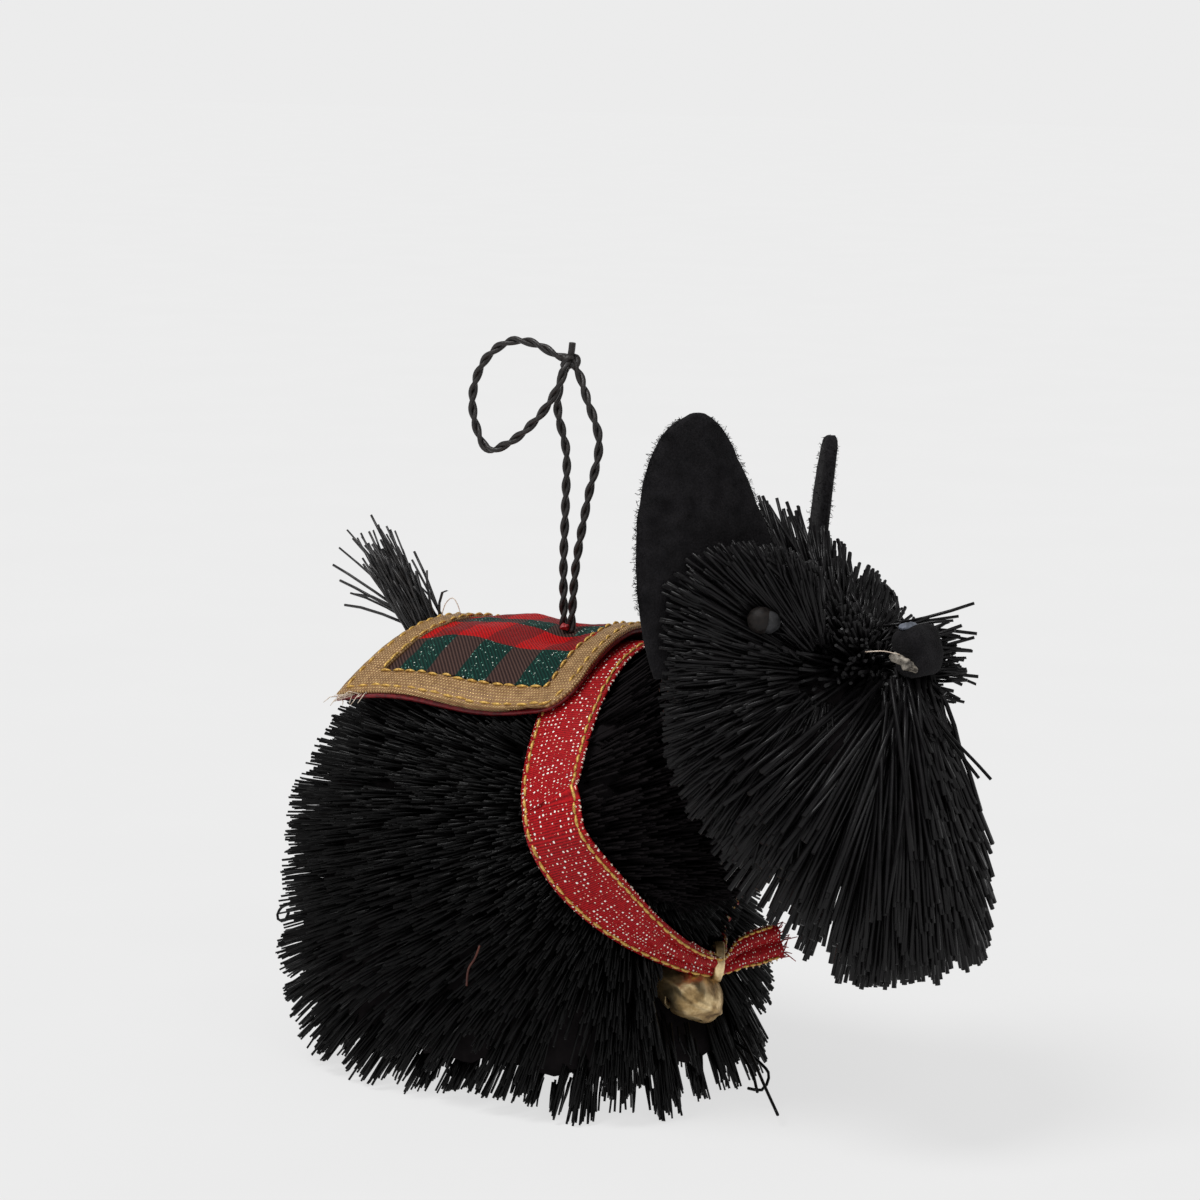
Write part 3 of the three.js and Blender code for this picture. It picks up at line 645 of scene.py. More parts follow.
def slab(name, surface, columns, rows, levels, half_width, keep=None):
    """A closed cloth between two levels over a surface, each a height or a function of u and v."""
    u, v = np.meshgrid(columns, rows, indexing="ij")
    normals = surface_normals(surface, u, v)
    heights = [level(u, v) if callable(level) else np.full(u.shape, float(level)) for level in levels]
    skins = [surface(u, v) + normals * height[..., None] for height in heights]
    points = np.concatenate([skin.reshape(-1, 3) for skin in skins])
    grid = np.arange(u.size).reshape(u.shape)
    if keep is None:
        keep = np.ones((len(columns) - 1, len(rows) - 1), bool)
    corners = (grid[:-1, :-1], grid[1:, :-1], grid[1:, 1:], grid[:-1, 1:])
    bottom = np.stack([corner[keep] for corner in corners], -1)
    quads = [bottom + u.size, bottom[:, (0, 3, 2, 1)]]
    padded = np.pad(keep, 1)
    beyond = (padded[1:-1, :-2], padded[2:, 1:-1], padded[1:-1, 2:], padded[:-2, 1:-1])
    for k in range(4):
        start, end = (corners[j % 4][keep & ~beyond[k]] for j in (k, k + 1))
        quads.append(np.stack((start, end, end + u.size, start + u.size), -1))
    quads = np.concatenate(quads)
    used = np.unique(quads)
    quads = np.searchsorted(used, quads)
    place = np.tile(np.stack((u.ravel(), v.ravel() * half_width), -1), (2, 1))[used]
    return new_piece(name, points[used], quads, maps={"cloth": place[quads.ravel()]})


def stations(*stretches):
    """Places from stretches of (from, to, steps) that follow each other."""
    places = [np.linspace(start, end, steps, endpoint=False) for start, end, steps in stretches]
    return np.concatenate((*places, (stretches[-1][1],)))


def crumple(u, v, size, seed):
    return ripples(np.stack((u, v * MEAN_HALF_WIDTH, 0 * u), -1), size, seed)


def blanket_cover():
    inset = TRIM_WIDTH + CLOTH_GAP
    columns = np.linspace(inset, BLANKET_LENGTH - inset, 90)
    rows = np.linspace(-1 + TRIM_V + GAP_V, 1 - TRIM_V - GAP_V, 120)

    def top(u, v):
        return 0.14 * crumple(u, v, 5.5, 5) + 0.06 * crumple(u, v, 2.2, 6)

    cover = slab("blanket_cover_cloth", blanket_point, columns, rows, (-COVER_THICK, top), MEAN_HALF_WIDTH)
    finish_piece(cover, PLAID, "plaid", "blanket_cover")


def blanket_trim():
    far = BLANKET_LENGTH - TRIM_WIDTH
    columns = stations((0, TRIM_WIDTH, 10), (TRIM_WIDTH, far, 70), (far, BLANKET_LENGTH, 10))
    rows = stations((-1, -1 + TRIM_V, 10), (-1 + TRIM_V, 1 - TRIM_V, 80), (1 - TRIM_V, 1, 10))
    middle_u = (columns[1:] + columns[:-1]) / 2
    middle_v = (rows[1:] + rows[:-1]) / 2
    on_ends = (middle_u < TRIM_WIDTH) | (middle_u > far)
    on_sides = np.abs(middle_v) > 1 - TRIM_V
    keep = on_ends[:, None] | on_sides[None, :]

    def top(u, v):
        from_end = np.minimum(u, BLANKET_LENGTH - u)
        from_side = (1 - np.abs(v)) * BLANKET_HALF_WIDTH[0]
        depth = np.clip(np.minimum(from_end, from_side), 0, TRIM_WIDTH)
        return 0.22 + 0.3 * np.sin(np.pi * depth / TRIM_WIDTH) + 0.09 * crumple(u, v, 2.4, 8)

    levels = (-COVER_THICK, top)
    trim = slab("blanket_trim_cloth", blanket_point, columns, rows, levels, MEAN_HALF_WIDTH, keep)
    finish_piece(trim, GOLD_MESH, "gold_mesh", "blanket_trim")


def blanket_lining():
    top = -COVER_THICK - CLOTH_GAP / 2
    columns = np.linspace(-0.2, BLANKET_LENGTH - 0.1, 60)
    rows = np.linspace(-1.012, 1.012, 80)
    levels = (top - LINING_THICK, top)
    lining = slab("blanket_lining_cloth", blanket_point, columns, rows, levels, MEAN_HALF_WIDTH)
    finish_piece(lining, LINING, "lining", "blanket_lining")


def border_place(inset, share):
    """The u and v of a place on the line that runs round the blanket, inset from its edge."""
    low, high = inset, BLANKET_LENGTH - inset
    side = 1 - inset / BLANKET_HALF_WIDTH[0]
    corners = np.array(((low, -side), (high, -side), (high, side), (low, side), (low, -side)))
    legs = np.linalg.norm(np.diff(corners * (1, MEAN_HALF_WIDTH), axis=0), axis=1)
    reach = np.concatenate(((0,), np.cumsum(legs)))
    at = share * reach[-1]
    return np.interp(at, reach, corners[:, 0]), np.interp(at, reach, corners[:, 1]), reach[-1]


STITCH_PITCH = 2.15
STITCH_LENGTH = 1.7
STITCH_RADII = np.array((0.1, 0.2, 0.23, 0.2, 0.1))


def blanket_stitches():
    """Running stitches of gold thread along both edges of the trim."""
    rng = np.random.default_rng(21)
    lines = []
    for inset in (1.0, TRIM_WIDTH - 0.1):
        around = border_place(inset, 0)[2]
        count = round(around / STITCH_PITCH)
        for start in (np.arange(count) + rng.uniform(-0.08, 0.08, count)) / count:
            length = STITCH_LENGTH * rng.uniform(0.8, 1.15)
            shares = start + np.linspace(0, length / around, len(STITCH_RADII))
            wander = inset + rng.normal(0, 0.09)
            u, v, _ = border_place(wander, shares % 1)
            lift = 0.34 + 0.14 * np.sin(np.linspace(0, np.pi, len(shares)))
            lines.append(blanket_point(u, v) + surface_normals(blanket_point, u, v) * lift[:, None])
    stitches = strand_piece("blanket_stitches", lines, STITCH_RADII, 6, 22)
    finish_piece(stitches, GOLD_THREAD, "gold_mesh")


# Collar ribbon: turn 0 is at the chest, and a quarter turn is at the dog's right side
COLLAR_MIDDLE = np.array((12.4, 0, 42.4))
COLLAR_DOWN = unit((0.34, 0, -0.94))
COLLAR_REACH = (25.2, 23.6)
COLLAR_POWER = (1.4, 1.7)
COLLAR_HALF_WIDTH = 27.6
COLLAR_UNDER_BLANKET = 3.6
CHEST_NORMAL = np.array((0.85, 0, -0.53))
BACK_NORMAL = np.array((-0.12, 0, 1))
GATHERED_WIDTH = 3.6
RIBBON_START = 0.32
RIBBON_END = -2 * math.pi - 0.8
TURN_SCALE = 25  # millimetres of ribbon for a radian of turn, for its weave


def collar_line(turn):
    """The middle of the ribbon and its outward normal at a turn round the neck."""
    c, s = np.cos(turn), np.sin(turn)
    power = np.where(c > 0, *COLLAR_POWER)
    reach = np.where(c > 0, *COLLAR_REACH)
    radius = (np.abs(c) ** power + np.abs(s) ** power) ** (-1 / power)
    point = COLLAR_MIDDLE + (radius * c * reach)[..., None] * COLLAR_DOWN
    point[..., 1] -= radius * s * COLLAR_HALF_WIDTH
    ceiling = blanket_height(point[..., 0], point[..., 1]) - COLLAR_UNDER_BLANKET
    point[..., 2] = np.minimum(point[..., 2], ceiling)
    normal = np.maximum(c, 0)[..., None] * CHEST_NORMAL + np.maximum(-c, 0)[..., None] * BACK_NORMAL
    normal[..., 1] -= s
    return point, unit(normal)


def collar_width(turn):
    from_chest = np.abs(np.arctan2(np.sin(turn), np.cos(turn)))
    return lerp(GATHERED_WIDTH, RIBBON_WIDTH, smoothstep(0.05, 1.45, from_chest))


def collar_frame(turn):
    """The place, the outward normal and the sideways direction of the ribbon at a turn."""
    point, normal = collar_line(turn)
    along = unit(collar_line(turn + 0.01)[0] - point)
    side = unit(np.cross(along, normal))
    return point, unit(np.cross(side, along)), side


# Past this turn the ribbon leaves the collar line and ends free in front of the chest
FREE_TURN = -2 * math.pi + 0.02
FREE_REACH = 13.0
FREE_ALONG = unit((0.52, 0.83, 0.2))
FREE_NORMAL = unit((0.83, -0.54, 0.08))
FREE_SIDE = np.cross(FREE_NORMAL, FREE_ALONG)
FREE_HALF_WIDTH = 2.8
TUCK_DEPTH = 2.4


def ribbon_frame(turn):
    """The ribbon's middle line, its outward normal, its sideways direction and its half width at a turn."""
    point, normal, side = collar_frame(np.maximum(turn, FREE_TURN))
    half = collar_width(np.maximum(turn, FREE_TURN)) / 2
    free = np.maximum(0, FREE_TURN - turn) * FREE_REACH
    bent = smoothstep(-1, 5, free)[..., None] * (free > 0)[..., None]
    along = lerp(np.cross(side, normal), FREE_ALONG, bent)
    point = point + free[..., None] * along
    half = lerp(half, FREE_HALF_WIDTH, smoothstep(0, 7, free))
    return point, unit(lerp(normal, FREE_NORMAL, bent)), unit(lerp(side, FREE_SIDE, bent)), half


def ribbon_point(turn, across):
    """A place on the ribbon: across runs from -1 to 1, with pleats where it is gathered at the chest."""
    point, normal, side, half = ribbon_frame(turn)
    gather = 1 - smoothstep(2.2, 4.6, half)
    pleats = gather * 0.35 * np.sin(across * 7 + 2 * np.sin(turn * 3))
    crown = 0.25 * (1 - across**2) * (1 - gather)
    tuck = TUCK_DEPTH * smoothstep(-0.02, -0.25, turn) * smoothstep(-1.5, -0.9, turn)
    height = (turn - RIBBON_START) / (RIBBON_END - RIBBON_START) * 1.3 + pleats + crown - tuck
    return point + (across * half)[..., None] * side + height[..., None] * normal


def ribbon_surface(u, v):
    return ribbon_point(RIBBON_START - u / TURN_SCALE, v)


def collar_ribbon():
    columns = np.linspace(0, (RIBBON_START - RIBBON_END) * TURN_SCALE, 420)
    rows = np.linspace(-1, 1, 17)
    ribbon = slab("collar_ribbon_cloth", ribbon_surface, columns, rows, (0.1, 0.5), RIBBON_WIDTH / 2)
    finish_piece(ribbon, RED_RIBBON, "red_ribbon", "collar_ribbon")
    line = ribbon_surface(columns, np.zeros(len(columns)))


def ribbon_edging():
    """Gold stitches along both edges of the ribbon, and the small pale loops outside them."""
    rng = np.random.default_rng(31)
    rise = np.linspace(0, np.pi, 5)
    stitches, loops = [], []
    for edge in (-1, 1):
        turn = RIBBON_START
        while turn > RIBBON_END + 0.06:
            turns = np.linspace(turn, turn - 0.068, 5)
            edges = np.full(5, edge * (0.86 + rng.uniform(-0.02, 0.02)))
            lift = 0.55 + 0.1 * np.sin(rise)
            stitches.append(ribbon_point(turns, edges) + ribbon_frame(turns)[1] * lift[:, None])
            at = turn - 0.034 + np.array((0.008, 0, -0.008))
            loops.append(ribbon_point(at, np.full(3, edge * 1.01)) + ribbon_frame(at)[1] * 0.35)
            turn -= 0.078 * rng.uniform(0.92, 1.1)
    gold = strand_piece("ribbon_stitches", stitches, (0.12, 0.22, 0.25, 0.22, 0.12), 6, 32)
    finish_piece(gold, GOLD_THREAD, "red_ribbon")
    pale = strand_piece("ribbon_edge_loops", loops, (0.08, 0.2, 0.08), 6, 33)
    finish_piece(pale, PALE_THREAD, "red_ribbon")


def fibre(root, way, bow):
    """A thin line from a root along a way, with a bow in its middle."""
    return np.stack((root, root + way / 2 + bow, root + way), -2)


def ribbon_fray():
    """Loose red threads at the ribbon's cut end."""
    rng = np.random.default_rng(35)
    lines = []
    for across in np.linspace(-1, 1, 30):
        root = ribbon_point(np.full(1, RIBBON_END + 0.04), np.full(1, across))[0] + FREE_NORMAL * 0.3
        length = rng.choice((0.8, 1.4, 2.2, 3.4), p=(0.4, 0.3, 0.2, 0.1)) * rng.uniform(0.8, 1.2)
        aim = unit(FREE_ALONG + rng.normal(0, 0.35, 3))
        lines.append(fibre(root, aim * length, rng.normal(0, 0.12, 3) * length))
    fray = strand_piece("ribbon_fray", lines, (0.12, 0.11, 0.07), 5, 36)
    finish_piece(fray, RED_THREAD, "red_ribbon")


# Felt ears: a leaf with a nearly straight outer edge and a rounded tip
EAR_OUTER = 10.2
EAR_INNER = 11.0
EAR_HEIGHT = 37.4
EAR_ROOT_HEIGHT = 66.0
EAR_FACE_TURN = math.radians(35)
EAR_RINGS = 54
EAR_COLUMNS = 26
EAR_FIBRES = 1000
EARS = {
    "ear_right": {"side": -1, "middle": (31, -18.6), "drop": 0, "lean": 0.0, "bend": 0.6},
    "ear_left": {"side": 1, "middle": (25.6, 16.4), "drop": 7, "lean": math.radians(6), "bend": 0.8},
}


def bezier(p0, p1, p2, p3, steps=24):
    t = np.linspace(0, 1, steps)[:, None]
    p0, p1, p2, p3 = (np.array(p, float) for p in (p0, p1, p2, p3))
    return (1 - t) ** 3 * p0 + 3 * (1 - t) ** 2 * t * p1 + 3 * (1 - t) * t**2 * p2 + t**3 * p3


EAR_TIP = (-1, EAR_HEIGHT)
EAR_LEFT_EDGE = np.concatenate((
    bezier((-7.6, 0), (-9.8, 6), (-EAR_OUTER - 0.6, 14), (-EAR_OUTER, 22)),
    bezier((-EAR_OUTER, 22), (-9.6, 30), (-7, EAR_HEIGHT), EAR_TIP),
))
EAR_RIGHT_EDGE = np.concatenate((
    bezier((7.6, 0), (EAR_INNER, 8), (EAR_INNER + 1, 16), (8.6, 22.5)),
    bezier((8.6, 22.5), (6.4, 27), (2.6, EAR_HEIGHT), EAR_TIP),
))


def ear_place(ear, across, thick, height):
    """A place in an ear's own frame, in the dog's frame."""
    side = ear["side"]
    across, thick = -side * across, -side * thick
    thick = thick + ear["bend"] * (height / EAR_HEIGHT) ** 2 * np.cos(across / 8)
    angle = math.pi / 2 + side * EAR_FACE_TURN
    x = across * math.cos(angle) + thick * math.sin(angle)
    y = across * math.sin(angle) - thick * math.cos(angle)
    z = height
    lean = ear["lean"]
    x, z = x * math.cos(lean) + z * math.sin(lean), z * math.cos(lean) - x * math.sin(lean)
    middle = ear["middle"]
    return np.stack((x + middle[0], y + middle[1], z + EAR_ROOT_HEIGHT - ear["drop"]), -1)


def ear_local(ear, points):
    """The reverse of ear_place for a flat ear: across, thick and height."""
    middle, lean, side = ear["middle"], ear["lean"], ear["side"]
    x, y, z = (points - (*middle, EAR_ROOT_HEIGHT - ear["drop"])).T
    x, z = x * math.cos(lean) - z * math.sin(lean), z * math.cos(lean) + x * math.sin(lean)
    angle = math.pi / 2 + side * EAR_FACE_TURN
    across = x * math.cos(angle) + y * math.sin(angle)
    thick = x * math.sin(angle) - y * math.cos(angle)
    return -side * across, -side * thick, z


def ear_edges(height):
    left = np.interp(height, EAR_LEFT_EDGE[:, 1], EAR_LEFT_EDGE[:, 0])
    right = np.interp(height, EAR_RIGHT_EDGE[:, 1], EAR_RIGHT_EDGE[:, 0])
    return left, right


def felt_ear(name, ear, seed):
    height = EAR_HEIGHT * (1 - (1 - np.linspace(0, 0.985, EAR_RINGS)) ** 1.8)
    left, right = ear_edges(height)
    s = np.sin(np.linspace(-np.pi / 2, np.pi / 2, EAR_COLUMNS))
    half = FELT_THICK / 2 * (1 - np.abs(s) ** 6) ** 0.5
    taper = np.clip((right - left) / 6, 0.25, 1) ** 0.5
    across = lerp(left[:, None], right[:, None], (s[None] + 1) / 2)
    thick = half[None] * taper[:, None]
    tall = height[:, None] + 0 * across
    front = np.stack((across, thick, tall), -1)
    back = np.stack((across, -thick, tall), -1)[:, ::-1][:, 1:-1]
    ring = np.concatenate((front, back), 1)
    points = ear_place(ear, ring[..., 0], ring[..., 1], ring[..., 2]).reshape(-1, 3)
    lumps = 0.1 * ripples(points, 3.2, seed) + 0.05 * ripples(points, 1.1, seed + 1)
    points = points + unit(points - points.mean(0)) * lumps[:, None]
    step = ear["side"]  # the left ear is mirrored, so its faces wind the other way
    quads, triangles = (faces[:, ::step] for faces in strand_faces(1, EAR_RINGS, ring.shape[1]))
    finish_piece(new_piece(name + "_felt", points, quads, triangles), FELT, "felt", name)
    ear_fuzz(name, ear, seed)


def ear_fuzz(name, ear, seed):
    """Loose fibres that stand off the felt, most of them along its edges."""
    rng = np.random.default_rng(seed)
    height = EAR_HEIGHT * rng.uniform(0.25, 0.985, EAR_FIBRES)
    left, right = ear_edges(height)
    at_edge = rng.random(EAR_FIBRES) < 0.6
    s = np.where(at_edge, rng.choice((0.0, 1.0), EAR_FIBRES), rng.random(EAR_FIBRES))
    across = lerp(left, right, s)
    at_sides, on_faces = rng.uniform(-0.8, 0.8, EAR_FIBRES), rng.choice((-1.0, 1.0), EAR_FIBRES)
    thick = np.where(at_edge, at_sides, on_faces) * FELT_THICK / 2
    root = ear_place(ear, across, thick * 0.9, height)
    outer = across + np.where(at_edge, np.sign(s - 0.5), 0)
    out = ear_place(ear, outer, thick * np.where(at_edge, 1, 2), height)
    aim = unit(unit(out - root) + rng.normal(0, 0.7, root.shape))
    length = rng.uniform(0.25, 0.65, (EAR_FIBRES, 1))
    bend = rng.normal(0, 0.18, root.shape)
    lines = np.stack((root - aim * 0.2, root + aim * length / 2 + bend, root + aim * length), 1)
    fuzz = strand_piece(name + "_fuzz", lines, (0.045, 0.04, 0.02), 3, seed + 1)
    finish_piece(fuzz, FELT, "felt")


# Small lumps: beads, glue and the nose
def lump(name, middle, radii, power, roughness, seed, axes=np.eye(3), fine=(36, 24)):
    """A closed rounded form. power is 2 for an ellipsoid and more for a rounded box."""
    around, up = fine
    turn = np.arange(around) * 2 * np.pi / around
    rise = np.linspace(-np.pi / 2, np.pi / 2, up + 2)[1:-1]

    def bulge(value):
        return np.sign(value) * np.abs(value) ** (2 / power)

    level, height = bulge(np.cos(rise)), bulge(np.sin(rise))
    flat = [level[:, None] * bulge(way(turn)) for way in (np.cos, np.sin)]
    form = np.stack((*flat, height[:, None] + 0 * turn), -1).reshape(-1, 3)
    form = np.concatenate((form, ((0, 0, -1), (0, 0, 1))))
    points = form * radii
    points = points + unit(form) * (roughness * ripples(points, min(radii) * 1.6, seed))[:, None]
    points = points @ np.asarray(axes) + middle
    grid = np.arange(around * up).reshape(up, around)
    ahead = np.roll(grid, -1, 1)
    quads = np.stack((grid[:-1], ahead[:-1], ahead[1:], grid[1:]), -1).reshape(-1, 4)
    south, north = around * up, around * up + 1
    low = np.stack((np.full(around, south), ahead[0], grid[0]), -1)
    high = np.stack((np.full(around, north), grid[-1], ahead[-1]), -1)
    return new_piece(name, points, quads, np.concatenate((low, high)))


EYES = {"eye_right": np.array((39.7, -17.5, 74.7)), "eye_left": np.array((36.4, 20.2, 72.6))}
NOSE_MIDDLE = np.array((54.9, 0, 69.3))
NOSE_HALVES = (2.6, 3.8, 3.7)
NOSE_TILT = math.radians(-12)
NOSE_DROP_PLACE = (55.2, -4.5, 68.3)
NOSE_DROP_ALONG = (0.71, 0.5, -0.5)


def axes_along(direction):
    first = unit(direction)
    second = unit(np.cross(first, (0, 0, 1)))
    return np.array((first, second, np.cross(first, second)))


def face():
    for seed, (name, middle) in enumerate(EYES.items(), 41):
        side = np.sign(middle[1])
        bead = lump(name + "_bead", middle, (EYE_RADIUS,) * 3, 2.1, 0.07, seed)
        finish_piece(bead, BEAD, "bead", name)
        beside = middle + (1.2, -side * 0.35, -0.2)
        glue = lump(name + "_glue", beside, (1.5, 1.2, 1.65), 2.1, 0.2, seed + 2)
        finish_piece(glue, GREY_GLUE, "bead")
    c, s = math.cos(NOSE_TILT), math.sin(NOSE_TILT)
    tilt = np.array(((c, 0, -s), (0, 1, 0), (s, 0, c)))
    nose = lump("nose_cap", NOSE_MIDDLE, NOSE_HALVES, 3.6, 0.16, 47, tilt, (56, 36))
    finish_piece(nose, FELT, "felt", "nose")
    # A crescent of glue over the nose, its pale blue-grey colour a painted highlight.
    crescent = lump("nose_glue_above", NOSE_MIDDLE + (-0.9, -1.2, 3.55), (1.2, 1.9, 0.55), 2.0, 0.1, 48)
    finish_piece(crescent, HIGHLIGHT_GLUE, "felt")
    drop_axes = axes_along(NOSE_DROP_ALONG)
    drop = lump("nose_glue_below", NOSE_DROP_PLACE, (2.2, 0.75, 0.8), 2.0, 0.3, 49, drop_axes)
    finish_piece(drop, CLEAR_GLUE, "felt")


# Bell: a lumpy hollow shell of two halves with a seam, crossed slots below and a strap for the ribbon
BELL_MIDDLE = np.array((18.1, -3.1, 14.1))
BELL_UP = unit((0.38, 0.42, 0.82))
BELL_HALF_HEIGHT = 3.9
BELL_WALL = 0.7
BELL_SLOT = 1.2
STRAP_HALF_WIDTH = 0.75
STRAP_HALF_THICK = 0.26
STRAP_MIDDLE = np.array((21.6, -0.4, 18.5))
STRAP_REACH = (2.9, 1.7)
STRAP_UP = unit((0.05, 0.1, 1))
STRAP_AHEAD = unit((0.7, -0.7, -0.03))
STRAP_STEPS = 60
STRAP_SIDES = 12
BELL_OUTWARD = unit((0.66, -0.72, 0.1))


def bell_axes():
    """The bell's own directions: ahead, to the left and up through its strap."""
    through = unit(np.array((0, 1, 0)) - BELL_UP[1] * BELL_UP)
    return np.array((np.cross(through, BELL_UP), through, BELL_UP))


def bell_shell(name, shrink, seed):
    """One skin of the bell as a mesh object in place."""
    radii = (BELL_RADIUS - shrink, BELL_RADIUS - shrink, BELL_HALF_HEIGHT - shrink)
    skin = lump(name, np.zeros(3), radii, 2.15, 0.0, seed, fine=(96, 64))
    points = places_of(skin)
    if shrink == 0:
        ridge = 0.4 * np.exp(-((points[:, 2] - 0.35 * ripples(points, 7, seed)) / 0.5) ** 2)
        lumps = 0.34 * ripples(points, 5.5, seed + 1) + 0.06 * ripples(points, 2.0, seed + 2)
        points = points + unit(points) * (ridge + lumps)[:, None]
    return move_to(skin, points @ bell_axes() + BELL_MIDDLE)


def bell_slot(name, direction):
    """A box that cuts a slot across the lower half of the bell."""
    halves = (BELL_RADIUS * 0.8, BELL_SLOT / 2) if direction == 0 else (BELL_SLOT / 2, BELL_RADIUS * 0.8)
    corners = np.array([(x, y, z) for z in (-6.0, -1.7) for y in (-1, 1) for x in (-1, 1)], float)
    corners[:, :2] *= halves
    quads = ((0, 2, 3, 1), (4, 5, 7, 6), (0, 1, 5, 4), (2, 6, 7, 3), (0, 4, 6, 2), (1, 3, 7, 5))
    return new_piece(name, corners @ bell_axes() + BELL_MIDDLE, quads)


def jingle_bell():
    shell = bell_shell("bell_shell", 0, 51)
    cutters = [bell_shell("bell_hollow", BELL_WALL, 51), bell_slot("slot_a", 0), bell_slot("slot_b", 1)]
    for cutter in cutters:
        modifier = shell.modifiers.new("cut", "BOOLEAN")
        modifier.operation = "DIFFERENCE"
        modifier.solver = "EXACT"
        modifier.object = cutter
    depsgraph = bpy.context.evaluated_depsgraph_get()
    shell.data = bpy.data.meshes.new_from_object(shell.evaluated_get(depsgraph))
    shell.modifiers.clear()
    for cutter in cutters:
        bpy.data.objects.remove(cutter)
    finish_piece(shell, BRASS, "brass", "bell")
    bell_strap()


def bell_strap():
    """The flattened brass loop that hangs the bell on the gathered ribbon."""
    across = unit(np.cross(STRAP_UP, STRAP_AHEAD))
    ahead = np.cross(across, STRAP_UP)
    turns = np.linspace(0, 2 * np.pi, STRAP_STEPS, endpoint=False)
    up, forth = np.cos(turns)[:, None] * STRAP_UP, np.sin(turns)[:, None] * ahead
    loop = up * STRAP_REACH[0] + forth * STRAP_REACH[1]
    angles = np.linspace(0, 2 * np.pi, STRAP_SIDES, endpoint=False)
    section = np.stack((np.cos(angles), np.sin(angles)), -1)
    section = np.sign(section) * np.abs(section) ** 0.6 * (STRAP_HALF_THICK, STRAP_HALF_WIDTH)
    band = loop[:, None] + (up + forth)[:, None] * section[None, :, :1] + section[None, :, 1:] * across
    band = (STRAP_MIDDLE + band).reshape(-1, 3)
    band = band + unit(band - STRAP_MIDDLE) * (0.12 * ripples(band, 2.5, 55))[:, None]
    grid = np.arange(len(band)).reshape(STRAP_STEPS, STRAP_SIDES)
    ahead_of, beside = np.roll(grid, -1, 0), np.roll(grid, -1, 1)
    quads = np.stack((grid, beside, np.roll(ahead_of, -1, 1), ahead_of), -1).reshape(-1, 4)
    finish_piece(new_piece("bell_strap", band, quads), BRASS, "brass")


# Bristle coats
def inside_sections(points, rows, power):
    """Whether points lie in a bundle whose level sections are rounded boxes."""
    z = points[:, 2]
    middle, long, wide = (np.interp(z, rows[:, 0], rows[:, k]) for k in (1, 2, 3))
    level = (np.abs(points[:, 0] - middle) / long) ** power + (np.abs(points[:, 1]) / wide) ** power
    return (level < 1) & (z > rows[0, 0]) & (z < rows[-1, 0])


def inside_body(points):
    in_neck = np.linalg.norm((points - NECK_MIDDLE) / NECK_RADII, axis=1) < 1
    return inside_sections(points, BODY_SECTIONS, BODY_POWER) | in_neck


def inside_head(points):
    return inside_sections(points, HEAD_SECTIONS, HEAD_POWER)


def skin_points(middle, directions, inside):
    """Where rays from the middle leave a bundle."""
    near, far = np.zeros(len(directions)), np.full(len(directions), 90.0)
    for _ in range(18):
        half = (near + far) / 2
        within = inside(middle + directions * half[:, None])
        near, far = np.where(within, half, near), np.where(within, far, half)
    return middle + directions * near[:, None]


def scattered_skin(count, rng):
    """Points spread over the body's skin, closer together near its middle, and their outward normals."""
    directions = unit(rng.normal(size=(count * 4, 3)))
    first = unit(np.cross(directions, rng.normal(size=directions.shape)))
    second = np.cross(directions, first)
    step = 0.02
    here, beside, above = (skin_points(BODY_MIDDLE, aim, inside_body) for aim in (
        directions, unit(directions + step * first), unit(directions + step * second)))
    normals = np.cross(beside - here, above - here)
    weight = np.linalg.norm(normals, axis=1)
    weight = np.minimum(weight, 12 * np.median(weight))
    weight = weight * (38 / np.linalg.norm(here - BODY_FAN, axis=1))
    chosen = rng.choice(len(here), count, replace=False, p=weight / weight.sum())
    return here[chosen], unit(normals)[chosen]


COLLAR_TURNS = np.linspace(0, 2 * np.pi, 220, endpoint=False)
COLLAR_PLACES, COLLAR_NORMALS, COLLAR_SIDES = collar_frame(COLLAR_TURNS)
COLLAR_HALVES = collar_width(COLLAR_TURNS) / 2


def in_collar(points):
    """Whether points lie in the ribbon or in front of it."""
    far = (points**2).sum(1)[:, None] - 2 * points @ COLLAR_PLACES.T + (COLLAR_PLACES**2).sum(1)
    nearest = far.argmin(1)
    offset = points - COLLAR_PLACES[nearest]
    height = (offset * COLLAR_NORMALS[nearest]).sum(1)
    across = (offset * COLLAR_SIDES[nearest]).sum(1)
    return (np.abs(across) < COLLAR_HALVES[nearest] + 0.1) & (height > -0.3) & (height < 9)


def in_blanket(points):
    share = (points[:, 0] - BLANKET_REAR) / BLANKET_LENGTH
    half = lerp(*BLANKET_HALF_WIDTH, np.clip(share, 0, 1))
    over = (share > -0.02) & (share < 1.01) & (np.abs(points[:, 1]) < half * 1.02)
    return over & (points[:, 2] > blanket_height(points[:, 0], points[:, 1]) - 1.7)


def in_bell(points):
    near_ring = np.linalg.norm(points - STRAP_MIDDLE, axis=1) < STRAP_REACH[0] + 0.8
    offset = points - BELL_MIDDLE
    ahead = offset @ BELL_OUTWARD
    aside = np.linalg.norm(offset - np.maximum(ahead, 0)[:, None] * BELL_OUTWARD, axis=1)
    return near_ring | (aside < BELL_RADIUS + 0.4)


ARCH_MIDDLE = (-3.5, FLOOR - 21.4)
ARCH_RADIUS = 24.0
PARTING_PLACE = (8.0, -6.5)
PARTING_SLOPE = 0.28
PARTING_HEIGHT = 12.0


def in_leg_gaps(points):
    """The low arch between front and hind legs, and the parting between the front legs."""
    x, y, z = points.T
    arch = np.hypot(x - ARCH_MIDDLE[0], z - ARCH_MIDDLE[1]) < ARCH_RADIUS
    parting = np.abs(y - PARTING_PLACE[1]) < PARTING_SLOPE * (PARTING_HEIGHT + FLOOR - z)
    return arch | ((x > PARTING_PLACE[0]) & parting)


